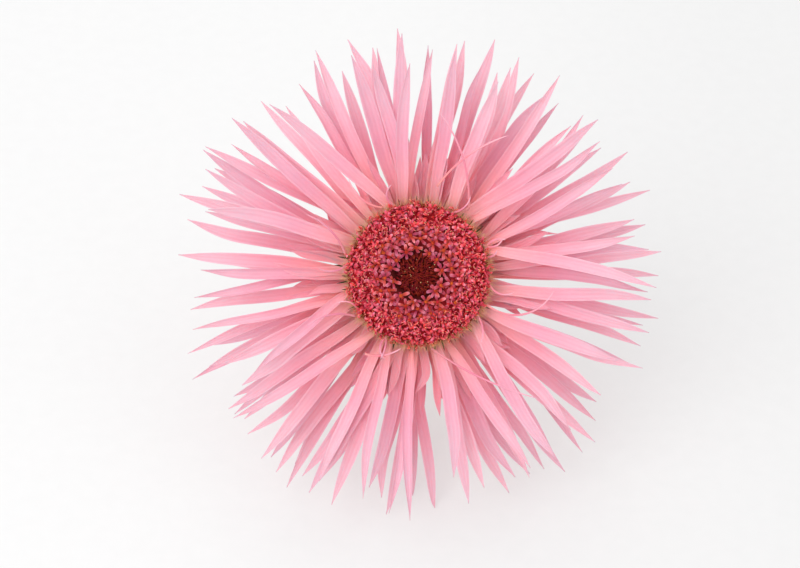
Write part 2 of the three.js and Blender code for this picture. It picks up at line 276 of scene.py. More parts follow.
class Outline(Enum):
    """How a strap's width changes from its root at 0 to its tip at 1."""

    LOBE = "lobe"
    BUD = "bud"
    BRISTLE = "bristle"
    BEAD = "bead"
    FUNNEL = "funnel"
    SLIVER = "sliver"
    THREAD = "thread"

    def share(self, t: Array) -> Array:
        """The share of the full width at t, never quite 0."""
        curve = {
            Outline.LOBE: lambda: (
                (0.55 + 0.45 * np.sin(np.pi * np.minimum(t, 0.8) / 1.3)) * (1 - t**7) ** 0.5
            ),
            Outline.BUD: lambda: (0.6 + 0.4 * np.sin(np.pi * t * 0.9)) * np.sqrt(1 - t**3),
            Outline.BRISTLE: lambda: 1 - 0.85 * t,
            Outline.BEAD: lambda: np.sqrt(1 - (2 * t - 1) ** 2),
            Outline.FUNNEL: lambda: 0.45 + 0.55 * t**2,
            Outline.SLIVER: lambda: (1 - t) ** 0.7 * (0.7 + 0.9 * t),
            Outline.THREAD: lambda: (1 - 0.5 * t**2) * np.sqrt(1 - t**12),
        }[self]()
        return np.maximum(curve, LEAST_SHARE)


@dataclass
class Straps:
    """Many small straps, each bent to a circular arc. All arrays have one row for each strap.

    Attributes:
        root: Where each one starts.
        heading: The way it starts out.
        towards: The way it bends, square to heading.
        bend: The angle it turns through over its length.
        length: Along its arc.
        width: Square to the bend.
        thickness: In the plane of the bend.
        tone: A number from 0 to 1 for its colour.
    """

    root: Array
    heading: Array
    towards: Array
    bend: Array
    length: Array
    width: Array
    thickness: Array
    tone: Array

    def skin(self, outline: Outline, rows: int, sides: int) -> Skin:
        """Rings along each arc.

        The middle line is root + length * (heading * sin(ct) + towards * (1 - cos(ct))) / c, where c is the
        bend. Each ring is an ellipse of the width and thickness, times the outline's share.

        Args:
            outline: How the width changes.
            rows: How many rings.
            sides: How many corners in a ring.

        Returns:
            The skins, one for each strap.
        """
        count = len(self.root)
        bend, length, width, thickness = (
            np.broadcast_to(np.asarray(v, float), count)[:, None, None]
            for v in (self.bend, self.length, self.width, self.thickness)
        )
        bend = np.where(np.abs(bend) < LEAST_BEND, LEAST_BEND, bend)
        t = np.linspace(0, 1, rows)[None, :, None]
        heading, towards = self.heading[:, None], self.towards[:, None]
        sine, cosine = np.sin(bend * t), np.cos(bend * t)
        middle = self.root[:, None] + length / bend * (heading * sine + towards * (1 - cosine))
        normal = towards * cosine - heading * sine
        across = np.cross(towards, heading)
        share = outline.share(t)
        angle = ring_angles(sides)[None, None, :, None]
        half_width = (across * width * share)[:, :, None] / 2
        half_thickness = (normal * thickness * share)[:, :, None] / 2
        points = middle[:, :, None] + half_width * np.cos(angle) + half_thickness * np.sin(angle)
        return Skin(points, np.broadcast_to(self.tone, count))


# -------------------- where things are


@dataclass(frozen=True)
class Head:
    """The head's frame.

    Attributes:
        origin: Its place in the table's frame, in millimetres.
        tilt: How far its axis leans from upright, towards -Y.
        receptacle_top: The receptacle's highest point, in the head's frame.
    """

    origin: Array
    tilt: float = math.radians(50.0)
    receptacle_top: float = -0.705

    @classmethod
    def found_on(cls, receptacle: bpy.types.Object) -> "Head":
        """Finds the head from its receptacle, a turned solid about the head's axis.

        Args:
            receptacle: The CAD node.

        Returns:
            The frame whose origin is on the receptacle's axis, a little above its top.
        """
        flat = np.empty(len(receptacle.data.vertices) * 3, np.float32)
        receptacle.data.vertices.foreach_get("co", flat)
        upright = flat.reshape(-1, 3).astype(float) / MM @ cls._turn(cls.tilt)
        low, high = upright.min(0), upright.max(0)
        centre = np.array([*(low + high)[:2] / 2, high[2] - cls.receptacle_top])
        return cls(cls._turn(cls.tilt) @ centre)

    @staticmethod
    def _turn(tilt: float) -> Array:
        """The matrix that leans the head's axis from +Z towards -Y."""
        c, s = math.cos(tilt), math.sin(tilt)
        return np.array([[1, 0, 0], [0, c, -s], [0, s, c]])

    def place(self, points: Array) -> Array:
        """Points of the head, in millimetres, as metres in the table's frame."""
        return (points @ self._turn(self.tilt).T + self.origin) * MM

    def direction(self, v: Sequence[float]) -> Array:
        """A direction of the head as one in the table's frame."""
        return self._turn(self.tilt) @ np.array(v, float)

    @property
    def table_normal(self) -> Array:
        """The table's upward normal, as the head sees it."""
        return self._turn(self.tilt).T @ UP


def on_table(points: Array) -> Array:
    """Points in millimetres in the table's frame, in metres."""
    return points * MM


def add_piece(
    name: str,
    skins: Sequence[Skin],
    material: bpy.types.Material,
    slot: Slot,
    place: Callable[[Array], Array],
    stands_for: Sequence[str] = (),
) -> bpy.types.Object:
    """Makes one piece of the flower and hands it to the frame.

    Args:
        name: The piece's name.
        skins: Its shape.
        material: Its finish.
        slot: The record's slot it belongs to. It is not used.
        place: Carries its points to the table's frame.
        stands_for: The CAD nodes it takes the place of.

    Returns:
        The piece.
    """
    mesh = mesh_of(name, skins, place)
    mesh.materials.append(material)
    piece = bpy.data.objects.new(name, mesh)
    bpy.context.scene.collection.objects.link(piece)
    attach(piece, "root")
    if stands_for:
        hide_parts(*stands_for)
    log.info("%s: %d faces", name, len(mesh.polygons))
    return piece


# -------------------- finishes


def linear(colour: Colour) -> tuple[float, float, float, float]:
    """A display colour from 0 to 255 as the linear one that shaders use."""
    c = np.array(colour) / 255
    return (*np.where(c <= 0.04045, c / 12.92, ((c + 0.055) / 1.055) ** 2.4).tolist(), 1.0)


class Wiring:
    """Places and joins nodes in one node tree.

    The Mix node has its sockets once for each kind of data, so the ones for colours go by number.
    """

    MIX_SHARE, MIX_LOW, MIX_HIGH, MIX_RESULT = 0, 6, 7, 2

    def __init__(self, tree: bpy.types.NodeTree) -> None:
        """Keeps the tree."""
        self.tree = tree

    def node(self, kind: str, inputs: Optional[dict] = None, **settings: object) -> bpy.types.Node:
        """Adds a node.

        Args:
            kind: Its type, without the leading ShaderNode.
            inputs: Sockets or plain values for its inputs, by name or number.
            **settings: Its own settings.

        Returns:
            The node.
        """
        made = self.tree.nodes.new("ShaderNode" + kind)
        for name, value in settings.items():
            setattr(made, name, value)
        for name, value in (inputs or {}).items():
            self.feed(made.inputs[name], value)
        return made

    def feed(self, target: Socket, value: object) -> None:
        """Joins a socket to the target, or sets the target's own value.

        Args:
            target: An input.
            value: A socket or a plain value.
        """
        if isinstance(value, bpy.types.NodeSocket):
            self.tree.links.new(value, target)
        else:
            target.default_value = value

    def maths(self, operation: str, *values: object) -> Socket:
        """The result of a sum on values or sockets, such as "MULTIPLY"."""
        return self.node("Math", dict(enumerate(values)), operation=operation).outputs[0]

    def stretched(self, value: Socket, low: float, high: float) -> Socket:
        """A value carried from low..high to 0..1, smoothly, and held there."""
        wanted = {"Value": value, "From Min": low, "From Max": high}
        return self.node("MapRange", wanted, interpolation_type="SMOOTHSTEP").outputs[0]

    def blend(self, share: object, low: object, high: object) -> Socket:
        """Two colours mixed by a share."""
        wanted = {self.MIX_SHARE: share, self.MIX_LOW: low, self.MIX_HIGH: high}
        return self.node("Mix", wanted, data_type="RGBA").outputs[self.MIX_RESULT]

    def noise(self, point: Socket, scale: object, detail: float) -> Socket:
        """A cloudy value from 0 to 1."""
        wanted = {"Vector": point, "Scale": scale, "Detail": detail}
        return self.node("TexNoise", wanted).outputs["Fac"]

    def ramp(self, value: Socket, stops: Sequence[tuple[float, Colour]]) -> Socket:
        """A colour that runs through stops as the value goes from 0 to 1.

        Args:
            value: What picks the colour.
            stops: Places and colours, the two ends first.

        Returns:
            The colour.
        """
        made = self.node("ValToRGB", {0: value})
        elements = made.color_ramp.elements
        for index, (position, colour) in enumerate(stops):
            element = elements[index] if index < 2 else elements.new(position)
            element.position, element.color = position, linear(colour)
        return made.outputs[0]

    def field(self, name: Field) -> Socket:
        """One of the numbers that the piece's points carry."""
        return self.node("Attribute", attribute_name=name.value).outputs["Fac"]

    def group(self, tree: bpy.types.NodeTree, inputs: dict) -> bpy.types.Node:
        """Places a node group.

        Args:
            tree: The group.
            inputs: Sockets or plain values for its inputs, by name.

        Returns:
            The node.
        """
        made = self.tree.nodes.new("ShaderNodeGroup")
        made.node_tree = tree
        for name, value in inputs.items():
            self.feed(made.inputs[name], value)
        return made


def new_group(
    name: str, inputs: dict[str, str], outputs: dict[str, str]
) -> tuple[Wiring, Sequence[Socket], Sequence[Socket]]:
    """Starts a shader node group.

    Args:
        name: The group's name.
        inputs: Socket kinds by name, such as {"Scale": "Float"}.
        outputs: The same, for what it gives.

    Returns:
        Its wiring, the outputs of its input node, and the inputs of its output node.
    """
    tree = bpy.data.node_groups.new(name, "ShaderNodeTree")
    for direction, sockets in (("INPUT", inputs), ("OUTPUT", outputs)):
        for title, kind in sockets.items():
            tree.interface.new_socket(title, in_out=direction, socket_type="NodeSocket" + kind)
    wiring = Wiring(tree)
    return wiring, tree.nodes.new("NodeGroupInput").outputs, tree.nodes.new("NodeGroupOutput").inputs


def mottle_group() -> bpy.types.NodeTree:
    """A group that gives plant tissue its cloudy shade and its fine cell grain.

    Returns:
        The group. Shade is around 1, and Grain runs from 0 to 1.
    """
    w, given, out = new_group(
        "tissue_mottle",
        {"Vector": "Vector", "Scale": "Float", "Strength": "Float"},
        {"Shade": "Float", "Grain": "Float"},
    )
    fineness, coarse_share, fine_share = 7.0, 0.7, 0.3
    coarse = w.noise(given["Vector"], given["Scale"], detail=3.0)
    fine = w.noise(given["Vector"], w.maths("MULTIPLY", given["Scale"], fineness), detail=2.0)
    clouds = w.maths("MULTIPLY", coarse, coarse_share)
    both = w.maths("ADD", clouds, w.maths("MULTIPLY", fine, fine_share))
    swing = w.maths("MULTIPLY", w.maths("SUBTRACT", both, 0.5), given["Strength"])
    w.feed(out["Shade"], w.maths("ADD", swing, 1.0))
    w.feed(out["Grain"], fine)
    return w.tree


def vein_group() -> bpy.types.NodeTree:
    """A group that draws veins along a blade, and its thin rim.

    Returns:
        The group. Vein is high on the veins, Rim near the two edges.
    """
    w, given, out = new_group(
        "running_veins",
        {"Along": "Float", "Across": "Float", "Tone": "Float", "Count": "Float"},
        {"Vein": "Float", "Rim": "Float"},
    )
    drift_along, step_between_pieces = 3.0, 40.0
    wave_pitch, wave_height = 2.1, 0.18
    lanes = w.maths("MULTIPLY", given["Across"], given["Count"])
    drift = w.maths("MULTIPLY", given["Along"], drift_along)
    own = w.maths("MULTIPLY", given["Tone"], step_between_pieces)
    lane_point = w.node("CombineXYZ", {0: lanes, 1: drift, 2: own}).outputs[0]
    streaks = w.noise(lane_point, 1.0, detail=3.0)
    wave = w.maths("COSINE", w.maths("MULTIPLY", lanes, wave_pitch))
    veins = w.maths("ADD", w.maths("MULTIPLY", wave, wave_height), streaks)
    w.feed(out["Vein"], w.stretched(veins, 0.42, 0.72))
    w.feed(out["Rim"], w.stretched(w.maths("ABSOLUTE", given["Across"]), 0.78, 1.0))
    return w.tree


@dataclass(frozen=True)
class Tissue:
    """The finish of one kind of plant tissue, as colours from 0 to 255 and shares.

    GLOW_REACH is how far red, green and blue light goes inside it, next to each other. ROUGHNESS_SWING is how
    far the grain moves the roughness. VEIN_HEIGHT and GRAIN_HEIGHT are shares of the relief.

    Attributes:
        name: The material's name.
        stops: The colour from root to tip.
        under: The colour of the underside, laid over by under_share.
        vein: The colour of the veins, laid over by vein_share.
        veins: How many there are, roughly, across half the width.
        rim: The colour of the thin edges, laid over by rim_share.
        hue_spread: How far the hue wanders from one piece to the next.
        value_spread: How far the brightness does.
        mottle_scale: Of the clouds, per metre.
        mottle: How strong the clouds are.
        roughness: Of the surface.
        specular: The shader's specular level.
        glow: The share of light that goes in and comes out again.
        glow_depth: How deep it goes, in millimetres.
        velvet: The sheen of fine hairs.
        relief: Height of veins and grain, in millimetres.
    """

    GLOW_REACH: ClassVar[Triple] = (1.0, 0.45, 0.4)
    ROUGHNESS_SWING: ClassVar[float] = 0.25
    VEIN_HEIGHT: ClassVar[float] = 0.8
    GRAIN_HEIGHT: ClassVar[float] = 0.4
    BUMP_STRENGTH: ClassVar[float] = 0.6
    SHEEN_ROUGHNESS: ClassVar[float] = 0.4

    name: str
    stops: tuple[tuple[float, Colour], ...]
    under: Colour = (255, 255, 255)
    under_share: float = 0.0
    vein: Colour = (120, 60, 60)
    vein_share: float = 0.0
    veins: float = 4.0
    rim: Colour = (255, 255, 255)
    rim_share: float = 0.0
    hue_spread: float = 0.02
    value_spread: float = 0.2
    mottle_scale: float = 300.0
    mottle: float = 0.3
    roughness: float = 0.55
    specular: float = 0.4
    glow: float = 0.0
    glow_depth: float = 0.4
    velvet: float = 0.0
    relief: float = 0.05

    def build(self, groups: "Groups") -> bpy.types.Material:
        """Makes the material.

        Args:
            groups: The shared node groups.

        Returns:
            The material.
        """
        material = bpy.data.materials.new(self.name)
        material.use_nodes = True
        w = Wiring(material.node_tree)
        shader = material.node_tree.nodes["Principled BSDF"]
        along, across = w.field(Field.ALONG), w.field(Field.ACROSS)
        tone, under = w.field(Field.TONE), w.field(Field.UNDER)
        point = w.node("TexCoord").outputs["Object"]
        clouds = {"Vector": point, "Scale": self.mottle_scale, "Strength": self.mottle}
        mottle = w.group(groups.mottle, clouds).outputs
        lanes = {"Along": along, "Across": across, "Tone": tone, "Count": self.veins}
        veins = w.group(groups.veins, lanes).outputs
        colour = w.ramp(along, self.stops)
        for mask, share, laid_over in (
            (under, self.under_share, self.under),
            (veins["Vein"], self.vein_share, self.vein),
            (veins["Rim"], self.rim_share, self.rim),
        ):
            colour = w.blend(w.maths("MULTIPLY", mask, share), colour, linear(laid_over))
        off_middle = w.maths("SUBTRACT", tone, 0.5)
        hue = w.maths("MULTIPLY_ADD", off_middle, self.hue_spread, 0.5)
        light = w.maths("MULTIPLY_ADD", off_middle, self.value_spread, 1.0)
        value = w.maths("MULTIPLY", light, mottle["Shade"])
        toned = w.node("HueSaturation", {"Hue": hue, "Value": value, "Color": colour}).outputs[0]
        grain_swing = w.maths("SUBTRACT", mottle["Grain"], 0.5)
        vein_height = w.maths("MULTIPLY", veins["Vein"], self.VEIN_HEIGHT)
        grain_height = w.maths("MULTIPLY", mottle["Grain"], self.GRAIN_HEIGHT)
        height = w.maths("ADD", vein_height, grain_height)
        relief = {"Strength": self.BUMP_STRENGTH, "Distance": self.relief * MM, "Height": height}
        settings = {
            "Base Color": toned,
            "Roughness": w.maths("MULTIPLY_ADD", grain_swing, self.ROUGHNESS_SWING, self.roughness),
            "Normal": w.node("Bump", relief).outputs[0],
            "Specular IOR Level": self.specular,
            "Subsurface Weight": self.glow,
            "Subsurface Radius": self.GLOW_REACH,
            "Subsurface Scale": self.glow_depth * MM,
            "Sheen Weight": self.velvet,
            "Sheen Roughness": self.SHEEN_ROUGHNESS,
        }
        for name, wanted in settings.items():
            w.feed(shader.inputs[name], wanted)
        return material


@dataclass(frozen=True)
class Groups:
    """The node groups that the materials share."""

    mottle: bpy.types.NodeTree
    veins: bpy.types.NodeTree


PETAL = Tissue(
    "petal_tissue",
    stops=(
        (0.0, (239, 214, 160)),
        (1.0, (234, 188, 202)),
        (0.07, (252, 202, 172)),
        (0.14, (255, 175, 170)),
        (0.26, (255, 175, 184)),
        (0.50, (245, 174, 193)),
        (0.66, (242, 183, 200)),
        (0.80, (238, 190, 205)),
    ),
    under=(244, 187, 192),
    under_share=0.3,
    vein=(230, 134, 158),
    vein_share=0.2,
    veins=5.0,
    rim=(250, 212, 222),
    rim_share=0.3,
    hue_spread=0.012,
    value_spread=0.14,
    mottle_scale=160.0,
    mottle=0.16,
    roughness=0.58,
    specular=0.28,
    glow=0.4,
    glow_depth=0.35,
    relief=0.06,
)
# Painted shade: the short rays lie in shade near the eye, and this copy of PETAL gives them warmer, salmon
# colours that paint the tone of that shade over the petals' own pink.
SHORT_RAY_SHADED = replace(
    PETAL,
    name="short_ray_tissue",
    stops=(
        (0.0, (243, 216, 170)),
        (1.0, (252, 180, 196)),
        (0.12, (255, 194, 174)),
        (0.25, (255, 173, 170)),
        (0.55, (255, 168, 182)),
    ),
    under=(255, 180, 184),
    glow=0.6,
)
INNER_LIP = Tissue(
    "inner_lip_tissue",
    stops=((0.0, (236, 150, 150)), (1.0, (252, 190, 205)), (0.4, (244, 140, 160))),
    roughness=0.5,
    glow=0.2,
    relief=0.02,
)
# Partly painted light: the lobes are rose, but the darkest red near their roots paints shade where they meet
# the throat, and the pale pink tips and edges are partly painted highlights.
STAR_LOBE_SHADED = Tissue(
    "star_lobe_tissue",
    stops=((0.0, (180, 37, 24)), (1.0, (244, 146, 168)), (0.14, (153, 20, 26)), (0.4, (188, 48, 68))),
    vein=(162, 29, 48),
    vein_share=0.4,
    veins=2.0,
    rim=(233, 140, 154),
    rim_share=0.35,
    hue_spread=0.03,
    value_spread=0.35,
    mottle_scale=900.0,
    mottle=0.4,
    roughness=0.45,
    specular=0.35,
    glow=0.12,
    glow_depth=0.2,
    relief=0.03,
)
THROAT = Tissue(
    "throat_tissue",
    stops=((0.0, (120, 20, 16)), (1.0, (206, 62, 30)), (0.7, (180, 36, 26))),
    hue_spread=0.03,
    value_spread=0.3,
    mottle_scale=900.0,
    mottle=0.5,
    specular=0.25,
    relief=0.03,
)
# Partly painted light: the curls are crimson, but the darkest red at their roots paints the shade between
# them, and the pale pink tips and edges are painted highlights.
RIM_CURL_SHADED = Tissue(
    "rim_curl_tissue",
    stops=((0.0, (164, 12, 18)), (1.0, (255, 186, 208)), (0.35, (217, 38, 58)), (0.7, (250, 98, 122))),
    rim=(255, 178, 192),
    rim_share=0.42,
    hue_spread=0.014,
    value_spread=0.34,
    mottle_scale=900.0,
    mottle=0.4,
    roughness=0.36,
    specular=0.5,
    glow=0.25,
    glow_depth=0.2,
    relief=0.03,
)
ANTHER = Tissue(
    "anther_tissue",
    stops=((0.0, (210, 32, 51)), (1.0, (255, 227, 180)), (0.62, (244, 80, 98)), (0.86, (255, 147, 133))),
    value_spread=0.3,
    mottle_scale=1500.0,
    roughness=0.5,
    relief=0.02,
)
POLLEN = Tissue(
    "pollen",
    stops=((0.0, (246, 190, 124)), (1.0, (255, 226, 170))),
    hue_spread=0.03,
    value_spread=0.3,
    mottle_scale=3000.0,
    mottle=0.5,
    roughness=0.7,
)
BUD = Tissue(
    "dark_bud_tissue",
    stops=((0.0, (83, 9, 8)), (1.0, (160, 48, 43)), (0.6, (135, 20, 18)), (0.9, (152, 35, 33))),
    vein=(64, 4, 4),
    vein_share=0.5,
    veins=2.0,
    value_spread=0.6,
    mottle_scale=1200.0,
    mottle=0.6,
    roughness=0.6,
    specular=0.18,
)
# Painted shade: a dark sheet under the florets, crimson at the rim and near black in the middle, stands for
# the shade in the gaps between them.
BED_SHADE = Tissue(
    "eye_bed",
    stops=((0.0, (156, 18, 29)), (1.0, (71, 6, 4))),
    mottle_scale=1200.0,
    mottle=0.8,
    roughness=0.7,
    specular=0.15,
    relief=0.1,
)
BRISTLE = Tissue(
    "pappus_bristle_fibre",
    stops=((0.0, (195, 130, 84)), (1.0, (255, 220, 160)), (0.5, (233, 171, 116))),
    hue_spread=0.05,
    value_spread=0.5,
    mottle_scale=1500.0,
    roughness=0.45,
    relief=0.02,
)
PAPPUS_CORE = Tissue(
    "pappus_core_fibre",
    stops=((0.0, (206, 192, 140)), (1.0, (226, 214, 170))),
    mottle_scale=1500.0,
    mottle=0.8,
    roughness=0.8,
    relief=0.15,
)
FLESH = Tissue(
    "receptacle_flesh",
    stops=((0.0, (196, 196, 132)), (1.0, (214, 210, 156))),
    mottle_scale=700.0,
    mottle=0.5,
    roughness=0.6,
    relief=0.1,
)
SLIVER = Tissue(
    "bract_sliver_tissue",
    stops=((0.0, (120, 134, 70)), (1.0, (74, 52, 28)), (0.5, (66, 78, 36))),
    hue_spread=0.03,
    value_spread=0.4,
    mottle_scale=900.0,
    relief=0.03,
)
BRACT = Tissue(
    "bract_tissue",
    stops=((0.0, (136, 158, 84)), (1.0, (96, 66, 50)), (0.55, (104, 136, 60)), (0.88, (92, 118, 52))),
    under=(150, 168, 100),
    under_share=0.4,
    vein=(152, 176, 104),
    vein_share=0.35,
    veins=3.0,
    rim=(170, 182, 128),
    rim_share=0.5,
    hue_spread=0.03,
    value_spread=0.25,
    mottle_scale=500.0,
    mottle=0.35,
    glow=0.08,
    velvet=0.2,
    relief=0.08,
)
STEM = Tissue(
    "stem_tissue",
    stops=((0.0, (128, 152, 84)), (1.0, (158, 176, 112)), (0.4, (134, 160, 84))),
    under=(226, 230, 196),
    under_share=1.0,
    vein=(168, 186, 120),
    vein_share=0.4,
    veins=7.0,
    hue_spread=0.0,
    value_spread=0.0,
    mottle_scale=350.0,
    mottle=0.3,
    roughness=0.5,
    glow=0.08,
    velvet=0.15,
    relief=0.08,
)
DOWN = Tissue(
    "green_down",
    stops=((0.0, (180, 196, 140)), (1.0, (236, 238, 220))),
    value_spread=0.15,
    roughness=0.5,
    relief=0.01,
)


# -------------------- the petals


@dataclass(frozen=True)
class Storey:
    """One storey of petals: the CAD nodes' name, how many, their rise in degrees and their length share."""

    node: str
    count: int
    rise: float
    length: float
    joined: bool = False


@dataclass(frozen=True)
class Stray:
    """A petal that lies across the others.

    Attributes:
        at: Its foot's angle in degrees.
        sweep: Its sideways reach, as a share of a petal's length.
        length: Its own length, as a share of a petal's.
    """

    at: float
    sweep: float
    length: float


@dataclass
class PetalPlans:
    """How each petal grows, in the head's frame: arrays with one row for each petal.

    Attributes:
        number: What its repeatable numbers are worked out from.
        azimuth: The angle of its foot about the axis.
        foot: The height of its foot.
        length: Along the way it grows.
        width: At its widest.
        rise: The angle it climbs by.
        sweep: How far its tip is carried sideways by a bend.
        skew: How far its tip is carried sideways besides.
        droop: How far its tip sinks.
        twist: How far its tip is turned about its own line.
    """

    number: Array
    azimuth: Array
    foot: Array
    length: Array
    width: Array
    rise: Array
    sweep: Array
    skew: Array
    droop: Array
    twist: Array

    @classmethod
    def joined(cls, plans: Sequence["PetalPlans"]) -> "PetalPlans":
        """Several sets of plans as one."""
        names = list(cls.__dataclass_fields__)
        return cls(*(np.concatenate([getattr(plan, name) for plan in plans]) for name in names))


@dataclass(frozen=True)
class PetalSection:
    """The shape across a petal. Lengths are in millimetres.

    Attributes:
        least_bend: The least half-angle of the channel.
        more_bend: How much more the most bent petal has.
        bend_power: How rare strong bends are.
        claw_bend: The share by which the foot is bent more, as tip_bend is for the tip.
        sink: How far the channel is let down.
        cant: The most that a petal's edges stand over and under its middle.
        grooves: How close together they are.
        ripple_slant: How far the ripple runs ahead at one edge, in ripples.
        row_power: How the rings are spaced along a petal, 1 being evenly.
        under_from: The sine of the way round a ring where the underside starts.
    """

    least_bend: float = 0.4
    more_bend: float = 1.05
    bend_power: float = 1.6
    claw_bend: float = 0.6
    tip_bend: float = 0.35
    sink: float = 0.3
    cant: float = 0.3
    groove: float = 0.05
    grooves: float = 3.2
    crease: float = 0.13
    crease_width: float = 0.17
    ripple: float = 0.09
    ripples: float = 3.5
    ripple_slant: float = 0.25
    row_power: float = 0.95
    under_from: float = -0.05


@dataclass(frozen=True)
class ShortRays:
    """The sizes of the short ray florets of the inmost rings, in millimetres.

    They rise by each of rises in turn, in degrees, and each of these stands a storey over the one before. The
    longer they are the rarer, by length_power. Each scatter is a share.
    """

    count: int = 88
    first_number: float = 300.0
    rises: tuple[float, ...] = (1.0, 6.0, 3.5, 11.0)
    first_storey: float = 2.0
    least_length: float = 14.5
    more_length: float = 9.0
    length_power: float = 1.6
    width: float = 2.7
    place_scatter: float = 0.3
    width_scatter: float = 0.15
    sweep: float = 1.6
    skew: float = 2.6
    droop: float = 0.6
    droop_scatter: float = 0.3
    twist: float = math.radians(9)
    rows: int = 24
    sides: int = 20


@dataclass
class Corolla:
    """All the petals, the strap-like ray florets, in storeys round the receptacle. Lengths in millimetres.

    The sizes down to stray_twist are those of the CAD petals, so that a petal's foot is where its solid's is.
    Tips are then moved, by fan_out and by tangle. Scatters are shares, apart from rise_scatter, an angle.

    Attributes:
        petal_length: Of a petal of the lowest storey.
        solid_thickness: Of a CAD petal.
        claw_radius: How far from the axis the feet stand.
        storey_rise: From one storey's feet up to the next's.
        lean: How far tips go sideways, in a wave round each storey.
        level_lean: How far the wave moves on from one storey to the next.
        alternate_rise: How far the rise of every second petal differs, up and down.
        floor_press: How far the table bends the lowest tips up.
        stray_bend: The share of a stray's sideways reach that is a bend.
        room_at: Where along a petal its room is measured.
        place_scatter: Of an azimuth, as a share of the spacing.
        length_loss: The most that a petal is too short, as a share.
        sweep_scatter: Of the sweep, as a share of the room.
        skew_scatter: Of the skew, as a share of the room.
        most_twist: The most that a petal's tip is turned.
        spare_width: The width beside that of the solid.
        spare_length: The length beside that of the solid.
        fan_rounds: How often the gaps between tips are evened out.
        fan_reach: The most that this moves a tip.
        crossing_share: The share of neighbours from two storeys that change places.
        tangle: The most that a tip is moved after that, for each storey.
        hook: The most that a tip hooks sideways.
        tip_lift: How far a tip turns up.
        lift_scatter: How far that differs.
        sprays: How many sprays a joined ring is parted into.
        numbers_per_storey: How far the petals' numbers move on from one storey to the next.
    """

    head: Head
    petal_length: float = 48.5
    petal_width: float = 3.7
    solid_thickness: float = 0.5
    claw_radius: float = 12.6
    claw_share: float = 0.42
    storey_rise: float = 0.8
    droop: float = 2.6
    lean: float = 8.0
    level_lean: float = math.radians(160.0)
    alternate_rise: float = math.radians(1.25)
    floor_press: float = 3.0
    stray_rise: float = math.radians(29.0)
    stray_bend: float = 0.45
    room_at: float = 0.95
    place_scatter: float = 0.1
    length_loss: float = 0.15
    width_scatter: float = 0.13
    rise_scatter: float = math.radians(0.4)
    sweep_scatter: float = 0.65
    skew_scatter: float = 1.1
    droop_scatter: float = 0.3
    most_twist: float = math.radians(26)
    stray_twist: float = math.radians(14)
    thickness: float = 0.3
    spare_width: float = 0.95
    spare_length: float = 1.04
    fan_rounds: int = 7
    fan_reach: float = 4.4
    crossing_share: float = 0.6
    tangle: tuple[float, ...] = (0.0, 0.0, 1.0, 1.0, 2.2, 3.2, 7.0, 7.0)
    wave: float = 0.35
    hook: float = 3.2
    tip_lift: float = 0.8
    lift_scatter: float = 0.5
    press_softness: float = 0.6
    widest_at: float = 0.52
    tip_power: float = 3.1
    section: PetalSection = PetalSection()
    short: ShortRays = ShortRays()
    rows: int = 46
    sides: int = 28
    sprays: int = 4
    numbers_per_storey: float = 20.0
    first_stray: float = 200.0
    storeys: tuple[Storey, ...] = (
        Storey("outer_petal", 12, -10, 1.0),
        Storey("outer_petal", 12, -5, 1.0),
        Storey("second_spray", 20, 0, 0.99, True),
        Storey("second_spray", 20, 5, 0.98, True),
        Storey("third_spray", 20, 10, 0.97, True),
        Storey("third_spray", 20, 15, 0.95, True),
        Storey("inner_petal", 8, 20.5, 0.93),
        Storey("inner_petal", 8, 26, 0.9),
    )
    strays: tuple[Stray, ...] = (
        Stray(34, -0.7, 0.8),
        Stray(52, -0.35, 0.9),
        Stray(102, 0.55, 0.82),
        Stray(184, 0.44, 0.68),
        Stray(263, 0.09, 1.04),
    )

    def head_height(self) -> float:
        """How high the head's origin has to stand for the lowest petals to reach the table.

        Returns:
            The height over the table.
        """
        rise, tilt = math.radians(self.storeys[0].rise), self.head.tilt
        reach = (self.claw_radius + self.petal_length * math.cos(rise)) * math.sin(tilt)
        return reach - self.petal_length * math.sin(rise) * math.cos(tilt) - self.floor_press

    def storey_plans(self, level: int) -> PetalPlans:
        """The petals of one storey.

        Each stands a spacing from the next, a little off its place, and sweeps through less than its room.

        Args:
            level: The storey's number from the lowest, 0.

        Returns:
            Their plans.
        """
        storey = self.storeys[level]
        index = np.arange(storey.count)
        n = level * self.numbers_per_storey + index
        spacing = TURN / storey.count
        reach = self.claw_radius + self.room_at * self.petal_length * storey.length
        room = math.pi * reach / storey.count - self.petal_width / 2
        azimuth = level * GOLDEN_TURN + spacing * (index + self.place_scatter * either(n, Salt.PLACE))
        rise = math.radians(storey.rise) + self.alternate_rise * np.where(index % 2, 1, -1)
        wave = self.lean * np.sin(azimuth + level * self.level_lean)
        return PetalPlans(
            number=n,
            azimuth=azimuth,
            foot=np.full(storey.count, self.storey_rise * level),
            length=self.petal_length * storey.length * (1 - self.length_loss * scatter(n, Salt.LENGTH)),
            width=self.petal_width * (1 + self.width_scatter * either(n, Salt.WIDTH)),
            rise=rise + self.rise_scatter * either(n, Salt.RISE),
            sweep=self.sweep_scatter * room * either(n, Salt.SWEEP),
            skew=wave + self.skew_scatter * room * either(n, Salt.SKEW),
            droop=self.droop * (1 + self.droop_scatter * either(n, Salt.DROOP)),
            twist=self.most_twist * either(n, Salt.TWIST) * np.abs(either(n, Salt.TWIST_SHARE)),
        )

    def stray_plans(self) -> PetalPlans:
        """The petals that lie across the others, above every storey.

        Returns:
            Their plans.
        """
        count = len(self.strays)
        at, sweep, share = np.array([[s.at, s.sweep, s.length] for s in self.strays]).T
        aside = sweep * self.petal_length
        return PetalPlans(
            number=self.first_stray + np.arange(count),
            azimuth=np.radians(at),
            foot=np.full(count, self.storey_rise * len(self.storeys)),
            length=self.petal_length * share,
            width=np.full(count, self.petal_width),
            rise=np.arctan(math.tan(self.stray_rise) * np.hypot(1, sweep / share)),
            sweep=self.stray_bend * aside,
            skew=(1 - self.stray_bend) * aside,
            droop=np.full(count, self.droop),
            twist=self.stray_twist * np.where(np.arange(count) % 2, 1, -1),
        )

